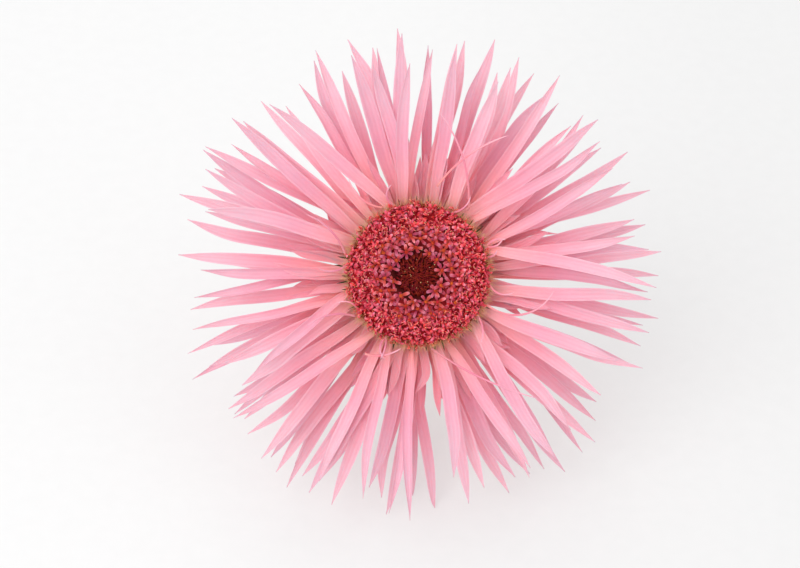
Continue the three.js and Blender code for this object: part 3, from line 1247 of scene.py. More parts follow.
    def fan_out(self, plans: Sequence[PetalPlans]) -> None:
        """Moves the petals' tips sideways by fan_reach at most.

        They go out of the crowds and into the gaps, and some neighbours of two storeys change places and so
        cross.

        Args:
            plans: Each storey's plans, whose skews are changed.
        """
        everyone = PetalPlans.joined(plans)
        reach = self.claw_radius + everyone.length
        tips = (everyone.azimuth + (everyone.skew + everyone.sweep) / reach) % TURN
        order = np.argsort(tips)
        smooth = tips[order]
        for _ in range(self.fan_rounds):
            before, after = np.roll(smooth, 1), np.roll(smooth, -1)
            before[0] -= TURN
            after[-1] += TURN
            smooth = (before + 2 * smooth + after) / 4
        level = np.repeat(np.arange(len(plans)), [len(plan.skew) for plan in plans])[order]
        for k in range(0, len(tips) - 1, 2):
            if level[k] != level[k + 1] and scatter(np.array(k), Salt.CROSSING) < self.crossing_share:
                smooth[[k, k + 1]] = smooth[[k + 1, k]]
        moved = np.zeros(len(tips))
        moved[order] = smooth - tips[order]
        moved = np.clip(moved * reach, -self.fan_reach, self.fan_reach)
        first = 0
        for plan in plans:
            plan.skew = plan.skew + moved[first : first + len(plan.skew)]
            first += len(plan.skew)

    def short_plans(self) -> PetalPlans:
        """The short ray florets of the inmost rings, which fill the gaps between the long ones near the eye.

        Returns:
            Their plans.
        """
        short = self.short
        index = np.arange(short.count)
        n = short.first_number + index
        turn = index % len(short.rises)
        return PetalPlans(
            number=n,
            azimuth=TURN * (index + short.place_scatter * either(n, Salt.PLACE)) / short.count,
            foot=self.storey_rise * (short.first_storey + turn),
            length=short.least_length + short.more_length * scatter(n, Salt.LENGTH) ** short.length_power,
            width=short.width * (1 + short.width_scatter * either(n, Salt.WIDTH)),
            rise=np.radians(np.array(short.rises)[turn]),
            sweep=short.sweep * either(n, Salt.SWEEP),
            skew=short.skew * either(n, Salt.SKEW),
            droop=short.droop * (1 + short.droop_scatter * either(n, Salt.DROOP)),
            twist=short.twist * either(n, Salt.TWIST),
        )

    def spine(self, plans: PetalPlans, t: Array) -> Array:
        """The petals' middle lines.

        Outwards a line goes by its length times t, sideways by skew * t + sweep * (0.6 t + 0.4 t^2) and
        upwards by its rise less droop * t^2. A gentle wave and a hook at the tip are added, and what would be
        under the table is lifted.

        Args:
            plans: The petals.
            t: Steps from 0 at the foot to 1 at the tip.

        Returns:
            Points, petal by step.
        """
        def column(values: Array) -> Array:
            """One row for each petal, to go with the steps."""
            return values[:, None]

        n = column(plans.number)
        length, rise = self.spare_length * column(plans.length), column(plans.rise)
        turns = t * (0.8 + 0.5 * scatter(n, Salt.WAVE_PITCH)) + scatter(n, Salt.WAVE_START)
        wave = self.wave * np.sin(TURN * turns) * eased(0.1, 0.5, t)
        hook = self.hook * either(n, Salt.HOOK) ** 3 * eased(0.7, 1.12, t)
        lift = (self.lift_scatter * either(n, Salt.LIFT) + self.tip_lift) * eased(0.7, 1.15, t)
        out = self.claw_radius + length * t * np.cos(rise)
        aside = column(plans.skew) * t + column(plans.sweep) * (0.6 * t + 0.4 * t**2) + wave + hook
        height = column(plans.foot) + length * t * np.sin(rise) - column(plans.droop) * t**2 + lift
        cosine, sine = np.cos(column(plans.azimuth)), np.sin(column(plans.azimuth))
        points = np.stack([out * cosine - aside * sine, out * sine + aside * cosine, height], -1)
        normal = self.head.table_normal
        over = (self.head.origin[2] + points @ normal - self.solid_thickness) / 2
        return points + normal * (np.hypot(over, self.press_softness) - over)[..., None]

    def outline(self, t: Array) -> Array:
        """The width along a petal: a claw, a quarter of a sine up to the widest place, and a pointed tip.

        Args:
            t: Steps from 0 at the foot to 1 at the tip.

        Returns:
            Shares of the full width.
        """
        widest = self.widest_at
        swell = np.sin(0.5 * np.pi * np.minimum(t, widest) / widest)
        claw = self.claw_share + (1 - self.claw_share) * swell
        tip = 1 - (np.maximum(t - widest, 0) / (1 - widest)) ** self.tip_power
        return np.maximum(claw * tip, LEAST_SHARE)

    def surface(self, plans: PetalPlans) -> Skin:
        """The petals' skins.

        A ring is a flat ellipse whose width is bent to an arc of half-angle b, like a channel: the point at
        the share u of the half width w lies aside by w * sin(b u) / b and up by w * (1 - cos(b u)) / b. A
        crease runs down the middle with a faint groove either side of it.

        Args:
            plans: The petals.

        Returns:
            One skin for each petal.
        """
        shape = self.section
        t = np.linspace(0, 1, self.rows) ** shape.row_power
        middle = self.spine(plans, t[None])
        forward = unit(np.gradient(middle, t, axis=1))
        level = unit(np.cross(UP, forward))
        turn = (plans.twist[:, None] * t)[..., None]
        across = level * np.cos(turn) + np.cross(forward, level) * np.sin(turn)
        through = np.cross(forward, across)
        angle = ring_angles(self.sides)
        u, side = np.cos(angle), np.sin(angle)
        n = plans.number[:, None, None]
        share = self.outline(t)[None, :, None]
        along = t[None, :, None]
        bend = shape.least_bend + shape.more_bend * scatter(n, Salt.CHANNEL) ** shape.bend_power
        more_at_foot = shape.claw_bend * (1 - eased(0.0, 0.3, along))
        bend = bend * (1.0 + more_at_foot + shape.tip_bend * eased(0.8, 1.0, along))
        half = self.spare_width * plans.width[:, None, None] / 2 * share
        wide = half * np.sin(bend * u) / bend
        channel = half * (1 - np.cos(bend * u)) / bend - shape.sink * half * bend
        channel = channel + shape.cant * either(n, Salt.CANT) * u * share * np.sin(np.pi * along)
        grooves = shape.groove * np.cos(shape.grooves * np.pi * u)
        crease = share * (grooves - shape.crease * np.exp(-((u / shape.crease_width) ** 2)))
        turns = shape.ripples * along + scatter(n, Salt.RIPPLE) + shape.ripple_slant * u
        ripple = shape.ripple * share * u**2 * np.sin(TURN * turns)
        skin_depth = self.thickness / 2 * side * np.sqrt(share)
        offset = (channel + crease + ripple + skin_depth)[..., None]
        points = middle[:, :, None] + across[:, :, None] * wide[..., None] + through[:, :, None] * offset
        under = (side < shape.under_from).astype(float)[None, None]
        return Skin(points, scatter(plans.number, Salt.TONE), t[None, :, None], u[None, None], under)

    def partings(self, azimuth: Array) -> list[int]:
        """Where a ring of petals is parted into sprays: near even shares, each at the widest gap there.

        Args:
            azimuth: The petals' angles, in order.

        Returns:
            The place of each spray's first petal, and one past the last spray's last petal.
        """
        count = len(azimuth)
        gap = (azimuth - np.roll(azimuth, 1)) % TURN
        near = np.array([0, -2, -1, 1, 2])
        even = np.round(np.arange(self.sprays) * count / self.sprays).astype(int)
        first = [int(place + near[np.argmax(gap[(place + near) % count])]) for place in even]
        return first + [first[0] + count]

    def sill(self, azimuths: Array, levels: Sequence[int]) -> Skin:
        """The ridge that a spray's feet grow together on: an oval carried part of the way round.

        Args:
            azimuths: The angles of the spray's petals.
            levels: Their storeys.

        Returns:
            The ridge.
        """
        steps, sides = 24, 10
        inset, half_width, spare_height, along = 0.2, 0.4, 0.12, 0.04
        angle = np.linspace(azimuths.max(), azimuths.min(), steps)[None, :, None]
        ring = ring_angles(sides)[None, None]
        low, high = self.storey_rise * min(levels), self.storey_rise * max(levels)
        radius = self.claw_radius + inset + half_width * np.cos(ring)
        height = (low + high) / 2 + ((high - low) / 2 + spare_height) * np.sin(ring)
        return Skin(polar(radius, angle, height), np.array([0.5]), along=np.full((1, 1, 1), along))

    def build(self, material: bpy.types.Material, shaded_short_material: bpy.types.Material) -> None:
        """Makes a piece for every petal node and every spray, and one of all the short rays.

        Args:
            material: The petals' finish.
            shaded_short_material: The short rays' finish, with the warm tone of their shade painted in.
        """
        single, counters = {}, {}
        every = [self.storey_plans(level) for level in range(len(self.storeys))]
        self.fan_out(every)
        for plan, reach in zip(every, self.tangle):
            plan.skew = plan.skew + reach * either(plan.number, Salt.TANGLE)
        for level, storey in enumerate(self.storeys):
            if storey.joined:
                continue
            skin = self.surface(every[level])
            for index in range(storey.count):
                counters[storey.node] = counters.get(storey.node, 0) + 1
                single[f"{storey.node}_{counters[storey.node]:02d}"] = skin.take([index])
        strays = self.surface(self.stray_plans())
        single.update({f"stray_petal_{i + 1:02d}": strays.take([i]) for i in range(len(self.strays))})
        for node, skin in single.items():
            add_piece(f"ray_{node}", [skin], material, Slot.PETAL, self.head.place, [node])
        coarser = replace(self, rows=self.short.rows, sides=self.short.sides)
        short = coarser.surface(self.short_plans())
        add_piece("short_rays", [short], shaded_short_material, Slot.PETAL, self.head.place)
        for name in dict.fromkeys(storey.node for storey in self.storeys if storey.joined):
            levels = [level for level, storey in enumerate(self.storeys) if storey.node == name]
            plans = PetalPlans.joined([every[level] for level in levels])
            azimuth = plans.azimuth % TURN
            order = np.argsort(azimuth)
            skin = self.surface(plans)
            parting = self.partings(azimuth[order])
            for quarter in range(self.sprays):
                node = f"{name}_{quarter + 1:02d}"
                places = np.arange(parting[quarter], parting[quarter + 1])
                rounds, members = places // len(order), order[places % len(order)]
                skins = [skin.take(members), self.sill(azimuth[members] + TURN * rounds, levels)]
                add_piece(f"ray_{node}", skins, material, Slot.PETAL, self.head.place, [node])


@dataclass
class InnerLips:
    """The thin curled threads that are the inner lips of the ray florets, over the petals' feet.

    Attributes:
        threads: The long ones: start radius and angle, end radius and angle in degrees, bend in radians.
        short_count: How many short ones stand round the eye.
        short_start: The radii where they start.
        short_end: The radii where they end.
        short_slant: The most that an end is off its start, in degrees.
        short_bend: How far they bend, either way, in radians.
        width: Of a thread, in the plane of its bend.
        depth: Of a thread, square to that.
        end_lift: How much higher over the petals a thread ends than it starts.
    """

    head: Head
    threads: tuple[tuple[float, float, float, float, float], ...] = (
        (20.0, 52.0, 39.5, 83.0, 0.7),
        (22.0, 78.0, 39.8, 57.0, -0.6),
        (18.5, -80.0, 41.7, -46.0, 0.35),
        (18.5, -24.0, 33.0, -7.0, 1.7),
        (23.5, -124.0, 18.6, -103.0, 0.9),
        (18.5, 165.0, 31.0, 152.0, 0.8),
        (18.5, 118.0, 29.0, 126.0, -1.1),
        (18.5, 214.0, 30.0, 205.0, 0.9),
    )
    short_count: int = 11
    short_start: Range = (16.8, 17.8)
    short_end: Range = (19.5, 24.5)
    short_slant: float = 14.0
    short_bend: Range = (0.5, 2.2)
    width: float = 0.56
    depth: float = 0.3
    end_lift: float = 0.6
    seed: int = 31

    @staticmethod
    def over_petals(radius: Array) -> Array:
        """How high the petals' faces are at a radius: a cone."""
        foot_height, slope, foot_radius = 8.2, 0.52, 12.6
        return foot_height + slope * (radius - foot_radius)

    def build(self, material: bpy.types.Material) -> None:
        """Makes the threads, each an arc whose chord joins its two ends.

        An arc that turns by c heads off c / 2 from its chord, and is chord * (c / 2) / sin(c / 2) long.

        Args:
            material: Their finish.
        """
        rng = np.random.default_rng(self.seed)
        count = self.short_count
        long = np.array(self.threads)
        angle = np.degrees(rng.uniform(0, TURN, count))
        columns = [
            rng.uniform(*self.short_start, count),
            angle,
            rng.uniform(*self.short_end, count),
            angle + rng.uniform(-self.short_slant, self.short_slant, count),
            rng.choice([-1, 1], count) * rng.uniform(*self.short_bend, count),
        ]
        radius, at, end_radius, end_at, bend = np.concatenate([long, np.stack(columns, -1)]).T
        start = polar(radius, np.radians(at), self.over_petals(radius))
        end = polar(end_radius, np.radians(end_at), self.over_petals(end_radius) + self.end_lift)
        chord = end - start
        flat = unit(chord)
        aside = unit(np.cross(UP, flat))
        half = bend[:, None] / 2
        straps = Straps(
            root=start,
            heading=flat * np.cos(half) - aside * np.sin(half),
            towards=aside * np.cos(half) + flat * np.sin(half),
            bend=bend, length=np.linalg.norm(chord, axis=-1) * (bend / 2) / np.sin(bend / 2),
            width=self.depth, thickness=self.width,
            tone=scatter(np.arange(len(at)) + 0.5, Salt.THREAD_TONE),
        )
        skins = [straps.skin(Outline.THREAD, 22, 8)]
        add_piece("inner_lips", skins, material, Slot.PETAL, self.head.place)


# -------------------- the eye


@dataclass
class Eye:
    """The disc of small florets: dark buds, a ring of open stars, and a dense rim. In millimetres.

    Attributes:
        crown: The height of the florets' tops over the head's origin.
        radius: Of the whole eye.
        bud_radius: Of the dark buds in the middle.
        bud_dip: Of the middle below the crown.
        open_radius: Of the ring of open florets.
        bud_rise: How steeply the middle buds stand, in degrees.
        bud_lean: How much less steeply the outer ones do.
        open_rings: Radius, count and inward lean in degrees of each ring of open florets.
        inmost: Inside this radius, open florets stand more loosely and less deep.
        extra_share: The share of open florets that have most_lobes, not few_lobes.
        styled_share: The share of open florets that show a style.
        speck_bands: For each band of pollen grains: its two radii and its count.
        floret_height: From the bed to the florets' tops.
        bowl_edge: The radii between which the bowl in the middle ends.
        roll_in: How far inside the rim the fall begins.
        roll_out: How far outside it would end.
    """

    head: Head
    crown: float = 13.2
    radius: float = 17.4
    bud_radius: float = 5.9
    bud_dip: float = 2.1
    open_radius: float = 11.2
    bud_count: int = 420
    bud_rise: float = 82.0
    bud_lean: float = 22.0
    open_rings: tuple[tuple[float, int, float], ...] = (
        (6.4, 13, 18.0),
        (8.5, 18, 8.0),
        (10.1, 21, 0.0),
        (11.6, 24, -4.0),
    )
    inmost: float = 7.0
    few_lobes: int = 5
    most_lobes: int = 6
    extra_share: float = 0.35
    throat_depth: float = 2.2
    throat_width: float = 0.86
    styled_share: float = 0.55
    rim_count: int = 270
    speck_bands: tuple[tuple[float, float, int], ...] = ((1.5, 6.0, 22), (12.0, 17.4, 150))
    floret_height: float = 0.9
    bowl_edge: Range = (3.5, 7.5)
    rim_fall: float = 2.4
    roll_in: float = 2.2
    roll_out: float = 0.4
    seed: int = 7

    def bed_height(self, radius: Array) -> Array:
        """The height of the ground that the florets stand on: a bowl in the middle and a fall at the rim.

        Args:
            radius: From the axis.

        Returns:
            The height over the head's origin.
        """
        bowl = self.bud_dip * (1 - eased(*self.bowl_edge, radius))
        fall = self.rim_fall * eased(self.radius - self.roll_in, self.radius + self.roll_out, radius)
        return self.crown - self.floret_height - bowl - fall

    def bed(self) -> Skin:
        """The ground under the florets: a turned, closed body with a lumpy top. Its dark colour is painted
        shade for the gaps between the florets, darker towards the middle.

        The lumps are a sine of the angle and radius times a sine of the radius.

        Returns:
            The body.
        """
        sides, steps, inner, below = 96, 40, 0.05, 0.1
        under_radius = [inner, self.open_radius, 12.4, self.radius]
        under_height = [7.3, 7.3, 7.4, 10.5]
        lump_height, spokes, spiral, rings = 0.22, 9, 2.1, 1.9
        top_radius = np.linspace(self.radius, inner, steps)
        radius = np.concatenate([under_radius, top_radius])
        height = np.concatenate([under_height, self.bed_height(top_radius) - below])
        angle = ring_angles(sides)[None, None]
        row = radius[None, :, None]
        lumps = lump_height * np.sin(spokes * angle + spiral * row) * np.sin(rings * row)
        lumps = lumps * (np.arange(len(radius)) > len(under_radius))[None, :, None]
        middle = 1 - np.clip(radius / self.radius, 0, 1)[None, :, None]
        points = polar(row, angle, height[None, :, None] + lumps)
        # along carries the painted shade from crimson at the rim to near black in the middle.
        return Skin(points, np.array([0.5]), along=eased(0.5, 0.66, middle))

    def buds(self, rng: np.random.Generator) -> list[Skin]:
        """The unopened florets, packed by the golden angle, leaning in towards the middle.

        Args:
            rng: Where the scatter comes from.

        Returns:
            The buds.
        """
        count, depth = self.bud_count, 1.0
        n = np.arange(count)
        radius = self.bud_radius * np.sqrt((n + 0.5) / count)
        azimuth = n * GOLDEN_TURN
        root = polar(radius, azimuth, self.bed_height(radius) - depth + rng.uniform(-0.2, 0.25, count))
        inward = azimuth + math.pi + rng.uniform(-0.7, 0.7, count)
        rise = np.radians(self.bud_rise - self.bud_lean * (radius / self.bud_radius) ** 2)
        heading = leaning(inward, rise + rng.uniform(-0.1, 0.1))
        towards = square_to(heading, leaning(inward + rng.uniform(-0.6, 0.6, count), 0.0 * n))
        spread = rng.uniform(0.85, 1.2, count)
        straps = Straps(
            root=root, heading=heading,
            towards=towards,
            bend=rng.uniform(0.2, 1.0, count), length=2.1 * spread,
            width=0.5, thickness=0.4,
            tone=rng.uniform(0, 1, count),
        )
        return [straps.skin(Outline.BUD, 7, 6)]

    def specks(self, rng: np.random.Generator) -> list[Skin]:
        """Grains of pollen that have fallen on the buds and the rim.

        Args:
            rng: Where the scatter comes from.

        Returns:
            The grains.
        """
        radius = np.concatenate([rng.uniform(*band) for band in self.speck_bands])
        count = len(radius)
        azimuth = rng.uniform(0, TURN, count)
        over_bed = np.where(radius < self.inmost, 0.95, 1.35)
        height = self.bed_height(radius) + over_bed + rng.uniform(-0.15, 0.15, count)
        heading = leaning(rng.uniform(0, TURN, count), rng.uniform(0.2, 1.4, count))
        size = rng.uniform(0.13, 0.24, count)
        straps = Straps(
            root=polar(radius, azimuth, height),
            heading=heading,
            towards=square_to(heading, np.broadcast_to([0.3, 0.5, 0.8], heading.shape)),
            bend=0 * size, length=size,
            width=size, thickness=size,
            tone=rng.uniform(0, 1, count),
        )
        return [straps.skin(Outline.BEAD, 5, 6)]

    def open_florets(self, rng: np.random.Generator) -> tuple[list[Skin], list[Skin]]:
        """The open florets: a throat with five or six strap lobes that arch out and down like a star.

        Args:
            rng: Where the scatter comes from.

        Returns:
            The lobes and styles, and the throats.
        """
        rings = np.concatenate([np.tile([[r, c, lean]], (int(c), 1)) for r, c, lean in self.open_rings])
        order = np.concatenate([np.arange(c) for _, c, _ in self.open_rings])
        count = len(rings)
        azimuth = TURN * (order + rng.uniform(-0.22, 0.22, count)) / rings[:, 1] + rings[:, 0]
        looseness = np.where(rings[:, 0] < self.inmost, 2.0, 1.0)
        radius = rings[:, 0] + rng.uniform(-0.35, 0.35, count) * looseness
        centre = polar(radius, azimuth, self.bed_height(radius) + 0.55 + rng.uniform(-0.25, 0.45, count))
        lean = np.radians(90 - rings[:, 2] - rng.uniform(-10, 10, count))
        axis = leaning(azimuth + math.pi + rng.uniform(-0.5, 0.5, count), lean)
        east = square_to(axis, polar(np.ones(count), azimuth + 0.3, np.zeros(count)))
        north = np.cross(axis, east)
        few, most = self.few_lobes, self.most_lobes
        owner = np.repeat(np.arange(count), most)
        lobe = np.tile(np.arange(most), count)
        kept = (lobe < few) | (rng.uniform(0, 1, count * most) < self.extra_share)
        petals = np.where(np.bincount(owner[kept], minlength=count) > few, most, few)[owner]
        spin = rng.uniform(0, TURN, count)[owner]
        turn = spin + TURN * lobe / petals + rng.uniform(-0.16, 0.16, count * most)
        owner, turn = owner[kept], turn[kept]
        lobes = len(owner)
        outward = east[owner] * np.cos(turn)[:, None] + north[owner] * np.sin(turn)[:, None]
        elevation = rng.uniform(0.25, 0.75, lobes)[:, None]
        heading = outward * np.cos(elevation) + axis[owner] * np.sin(elevation)
        curled = rng.uniform(0, 1, lobes) < 0.1 + 0.4 * eased(9.0, 12.0, radius[owner])
        straps = Straps(
            root=centre[owner] + outward * 0.3,
            heading=heading,
            towards=square_to(heading, -axis[owner]),
            bend=np.where(curled, rng.uniform(3.6, 5.4, lobes), rng.uniform(0.9, 2.1, lobes)),
            length=rng.uniform(1.7, 2.4, lobes),
            width=rng.uniform(0.7, 0.95, lobes), thickness=0.17,
            tone=rng.uniform(0, 1, lobes),
        )
        side = square_to(axis, east)
        tone = rng.uniform(0, 1, count)
        throat = Straps(
            root=centre - axis * self.throat_depth,
            heading=axis,
            towards=side,
            bend=0 * radius, length=self.throat_depth + 0.06,
            width=self.throat_width, thickness=self.throat_width,
            tone=tone,
        )
        styled = rng.uniform(0, 1, count) < self.styled_share
        style = Straps(
            root=centre[styled] - axis[styled] * 0.3,
            heading=axis[styled],
            towards=side[styled],
            bend=rng.uniform(0.2, 0.9, count)[styled], length=rng.uniform(0.9, 1.9, count)[styled],
            width=0.24, thickness=0.24,
            tone=tone[styled],
        )
        throats = [throat.skin(Outline.FUNNEL, 6, 10), style.skin(Outline.BUD, 6, 6)]
        return [straps.skin(Outline.LOBE, 9, 8)], throats

    def rim_places(self, rng: np.random.Generator) -> tuple[Array, Array]:
        """Spreads the rim florets evenly over their ring by the golden angle.

        Args:
            rng: Where the scatter comes from.

        Returns:
            Their radii and their azimuths.
        """
        count = self.rim_count
        n = np.arange(count)
        inner = self.open_radius - 0.2
        radius = np.sqrt(inner**2 + (self.radius**2 - inner**2) * (n + 0.5) / count)
        radius = radius + rng.uniform(-0.35, 0.35, count)
        return radius, n * GOLDEN_TURN + rng.uniform(-0.03, 0.03, count)

    def rim(self, rng: np.random.Generator) -> tuple[list[Skin], list[Skin]]:
        """The rim florets: tightly curled lobes, and split styles whose tips carry pollen.

        Args:
            rng: Where the scatter comes from.

        Returns:
            The curled lobes, and the styles.
        """
        radius, azimuth = self.rim_places(rng)
        outwards = eased(self.radius - 3.0, self.radius, radius)
        centre = polar(radius, azimuth, self.bed_height(radius) + 0.35)

        def crowd(per: int) -> tuple[Array, Array, Array]:
            """So many straps on each floret: their owners, their roots and the ways they stand off."""
            owner = np.repeat(np.arange(self.rim_count), per)
            size = len(owner)
            around = rng.uniform(0, TURN, size)
            offset = polar(rng.uniform(0.1, 0.75, size), around, rng.uniform(-0.3, 0.45, size))
            return owner, centre[owner] + offset, around

        def spread(heading: Array, owner: Array, strength: float) -> Array:
            """Headings drawn outwards, the more so the nearer a floret is to the eye's edge."""
            outward = leaning(azimuth[owner], np.zeros(len(owner)))
            return unit(heading + (outwards[owner] * strength)[:, None] * outward)

        owner, root, around = crowd(per=5)
        size = len(owner)
        heading = leaning(around + rng.uniform(-0.8, 0.8, size), rng.uniform(0.2, 1.2, size))
        heading = spread(heading, owner, 0.8)
        curls = Straps(
            root=root, heading=heading,
            towards=square_to(heading, rng.normal(0, 0.55, (size, 3)) - UP * 0.7),
            bend=rng.uniform(2.4, 5.0, size), length=rng.uniform(1.4, 2.4, size),
            width=rng.uniform(0.56, 0.88, size), thickness=0.3,
            tone=rng.uniform(0, 1, size),
        )
        owner, root, around = crowd(per=3)
        size = len(owner)
        heading = spread(leaning(around, rng.uniform(0.9, 1.5, size)), owner, 1.3)
        styles = Straps(
            root=root, heading=heading,
            towards=square_to(heading, rng.normal(0, 0.6, (size, 3))),
            bend=rng.uniform(0.5, 2.2, size), length=rng.uniform(1.0, 1.9, size),
            width=rng.uniform(0.2, 0.3, size), thickness=0.22,
            tone=rng.uniform(0, 1, size),
        )
        return [curls.skin(Outline.LOBE, 9, 6)], [styles.skin(Outline.LOBE, 6, 5)]

    def build(self, finishes: dict[str, bpy.types.Material]) -> None:
        """Makes the pieces of the eye.

        Args:
            finishes: The materials by name.
        """
        rng = np.random.default_rng(self.seed)
        place = self.head.place
        # The dark bed is painted shade, seen in the gaps between the florets.
        add_piece("eye_bed", [self.bed()], finishes[BED_SHADE.name], Slot.MAROON, place)
        add_piece("bud_cluster", self.buds(rng), finishes[BUD.name], Slot.MAROON, place, ["centre_buds"])
        lobes, throats = self.open_florets(rng)
        add_piece("star_florets", lobes, finishes[STAR_LOBE_SHADED.name], Slot.ROSE, place, ["open_florets"])
        add_piece("star_throats", throats, finishes[THROAT.name], Slot.ROSE, place)
        curls, styles = self.rim(rng)
        add_piece("rim_curls", curls, finishes[RIM_CURL_SHADED.name], Slot.CRIMSON, place, ["rim_florets"])
        add_piece("rim_styles", styles, finishes[ANTHER.name], Slot.CRIMSON, place)
        add_piece("pollen_specks", self.specks(rng), finishes[POLLEN.name], Slot.CRIMSON, place)


@dataclass
class Fringe:
    """The bristles of the pappus and the slivers of inner bract that stick out round the eye.

    Attributes:
        bristle_count: How many bristles.
        sliver_count: How many slivers.
    """

    head: Head
    bristle_count: int = 2100
    sliver_count: int = 52
    seed: int = 19

    def build(self, bristle: bpy.types.Material, sliver: bpy.types.Material) -> None:
        """Makes both kinds.

        Args:
            bristle: The finish of the bristles.
            sliver: The finish of the slivers.
        """
        rng = np.random.default_rng(self.seed)
        place = self.head.place
        count = self.bristle_count
        azimuth = rng.uniform(0, TURN, count)
        root = polar(rng.uniform(15.9, 17.3, count), azimuth, rng.uniform(9.0, 11.2, count))
        way = azimuth + rng.normal(0, 0.35, count)
        heading = leaning(way, rng.uniform(0.1, 1.1, count))
        hairs = Straps(
            root=root, heading=heading,
            towards=square_to(heading, rng.normal(0, 0.6, (count, 3)) - 0.2 * UP),
            bend=rng.uniform(0.1, 0.9, count), length=rng.uniform(1.5, 3.4, count),
            width=0.1, thickness=0.1,
            tone=rng.uniform(0, 1, count),
        )
        add_piece("pappus_bristles", [hairs.skin(Outline.BRISTLE, 5, 3)], bristle, Slot.PAPPUS, place)
        count = self.sliver_count
        azimuth = TURN * (np.arange(count) + rng.uniform(-0.35, 0.35, count)) / count
        height = rng.uniform(2.5, 10.2, count)
        root = polar(rng.uniform(14.2, 15.4, count) + 0.1 * height, azimuth, height)
        heading = leaning(azimuth + rng.normal(0, 0.15, count), rng.uniform(0.2, 0.6, count))
        upright = np.broadcast_to(UP, heading.shape)
        blades = Straps(
            root=root, heading=heading,
            towards=square_to(heading, upright + rng.normal(0, 0.5, (count, 3))),
            bend=rng.uniform(-0.3, 0.4, count), length=rng.uniform(3.0, 5.0, count),
            width=rng.uniform(0.5, 0.85, count), thickness=0.16,
            tone=rng.uniform(0, 1, count),
        )
        add_piece("bract_slivers", [blades.skin(Outline.SLIVER, 8, 6)], sliver, Slot.BRACT, place)


# -------------------- the green parts


@dataclass
class Involucre:
    """The green cup behind the petals: a bowl clad in rows of overlapping bracts. In millimetres.

    Attributes:
        bottom: The height of its foot, where the stem joins.
        top: The height of its lip.
        neck: Its radius at the foot.
        lip: Its radius at the lip.
        rows: For each row of bracts: its foot and tip as shares of the cup's height, its count and its flare.
        hair_count: How many hairs stand on it.
    """

    head: Head
    bottom: float = -15.5
    top: float = -2.1
    neck: float = 3.1
    lip: float = 14.6
    rows: tuple[tuple[float, float, int, float], ...] = (
        (0.02, 0.52, 14, 0.5),
        (0.12, 0.74, 18, 0.7),
        (0.26, 0.9, 21, 1.0),
        (0.42, 1.0, 22, 5.6),
    )
    hair_count: int = 1400
    seed: int = 23

    def radius_at(self, share: Array) -> Array:
        """The bowl's radius at a share of its height: neck + (lip - neck) * sin(pi / 2 * share)^0.75."""
        return self.neck + (self.lip - self.neck) * np.sin(np.pi / 2 * np.clip(share, 0.0, 1.0)) ** 0.75

    def height_at(self, share: Array) -> Array:
        """The height at a share of the bowl's height."""
        return self.bottom + (self.top - self.bottom) * share

    def bowl(self) -> Skin:
        """The bowl itself, a closed turned wall that folds in at the lip.

        Returns:
            The bowl.
        """
        steps, sides, inner, along = 24, 80, 0.05, 0.3
        share = np.linspace(0, 1, steps)
        fold_radius = [self.lip - 0.9, self.lip - 1.1, inner]
        fold_height = [self.top, self.top - 3.8, self.top - 4.4]
        radius = np.concatenate([[inner], self.radius_at(share), fold_radius])
        height = np.concatenate([[self.bottom], self.height_at(share), fold_height])
        points = polar(radius[None, :, None], ring_angles(sides)[None, None], height[None, :, None])
        return Skin(points, np.array([0.5]), along=np.full((1, 1, 1), along))

    def bracts(self, index: int) -> Skin:
        """One row of bracts, leaf-shaped blades that follow the bowl and flare at their tips.

        Args:
            index: The row's number from the stem.

        Returns:
            One skin for each bract.
        """
        low, high, count, flare = self.rows[index]
        rows, sides, numbers_per_row = 18, 12, 50
        least_width, overlap, off_bowl, off_tip = 0.03, 1.25, 0.15, 0.35
        n = np.arange(count, dtype=float) + numbers_per_row * index
        t = np.linspace(0, 1, rows)[None, :, None]
        angle = ring_angles(sides)[None, None]
        tip = (high + 0.04 * either(n, Salt.BRACT_TIP))[:, None, None]
        share = low + (np.minimum(tip, 1.0) - low) * t
        bowl = self.radius_at(share)
        outline = np.maximum((0.62 + 0.5 * np.sin(np.pi * t**0.8)) * (1 - t**2.6), least_width)
        half = math.pi * self.radius_at(np.array((low + high) / 2)) / count * overlap * outline
        flared = flare * (0.8 + 0.4 * scatter(n, Salt.BRACT_FLARE))[:, None, None] * t**3
        blade = (0.22 * np.sin(angle) + 0.2 * (1 - np.cos(angle) ** 2)) * outline**0.5
        radius = bowl + off_bowl + off_tip * t + flared + blade
        start = TURN * (np.arange(count) + 0.5 * index + 0.15 * either(n, Salt.BRACT_PLACE)) / count
        around = start[:, None, None] + half * np.cos(angle) / np.maximum(bowl, 1.0)
        points = polar(radius, around, self.height_at(share) - 0.12 * flared)
        tone = scatter(n, Salt.BRACT_TONE)
        return Skin(points[..., ::-1, :], tone, along=t, across=np.cos(angle)[..., ::-1])

    def hairs(self) -> Skin:
        """Fine hairs over the bracts.

        Returns:
            The hairs.
        """
        rng = np.random.default_rng(self.seed)
        count = self.hair_count
        share = rng.uniform(0.05, 0.97, count)
        azimuth = rng.uniform(0, TURN, count)
        root = polar(self.radius_at(share) + 0.35, azimuth, self.height_at(share))
        heading = leaning(azimuth + rng.normal(0, 0.4, count), rng.uniform(-0.1, 0.9, count))
        towards = square_to(heading, rng.normal(0, 1, (count, 3)))
        tone = rng.uniform(0, 1, count)
        size = rng.uniform(0.6, 1.3, count)
        hairs = Straps(
            root, heading, towards, bend=0.8 * tone, length=size, width=0.05, thickness=0.05, tone=tone
        )
        return hairs.skin(Outline.BRISTLE, 4, 3)

    def build(self, bract: bpy.types.Material, down: bpy.types.Material) -> None:
        """Makes the cup with its bracts, and its hairs.

        Args:
            bract: The finish of the cup.
            down: The finish of the hairs.
        """
        skins = [self.bowl(), *(self.bracts(index) for index in range(len(self.rows)))]
        add_piece("bract_cup", skins, bract, Slot.BRACT, self.head.place, ["involucre"])
        add_piece("bract_hairs", [self.hairs()], down, Slot.BRACT, self.head.place)


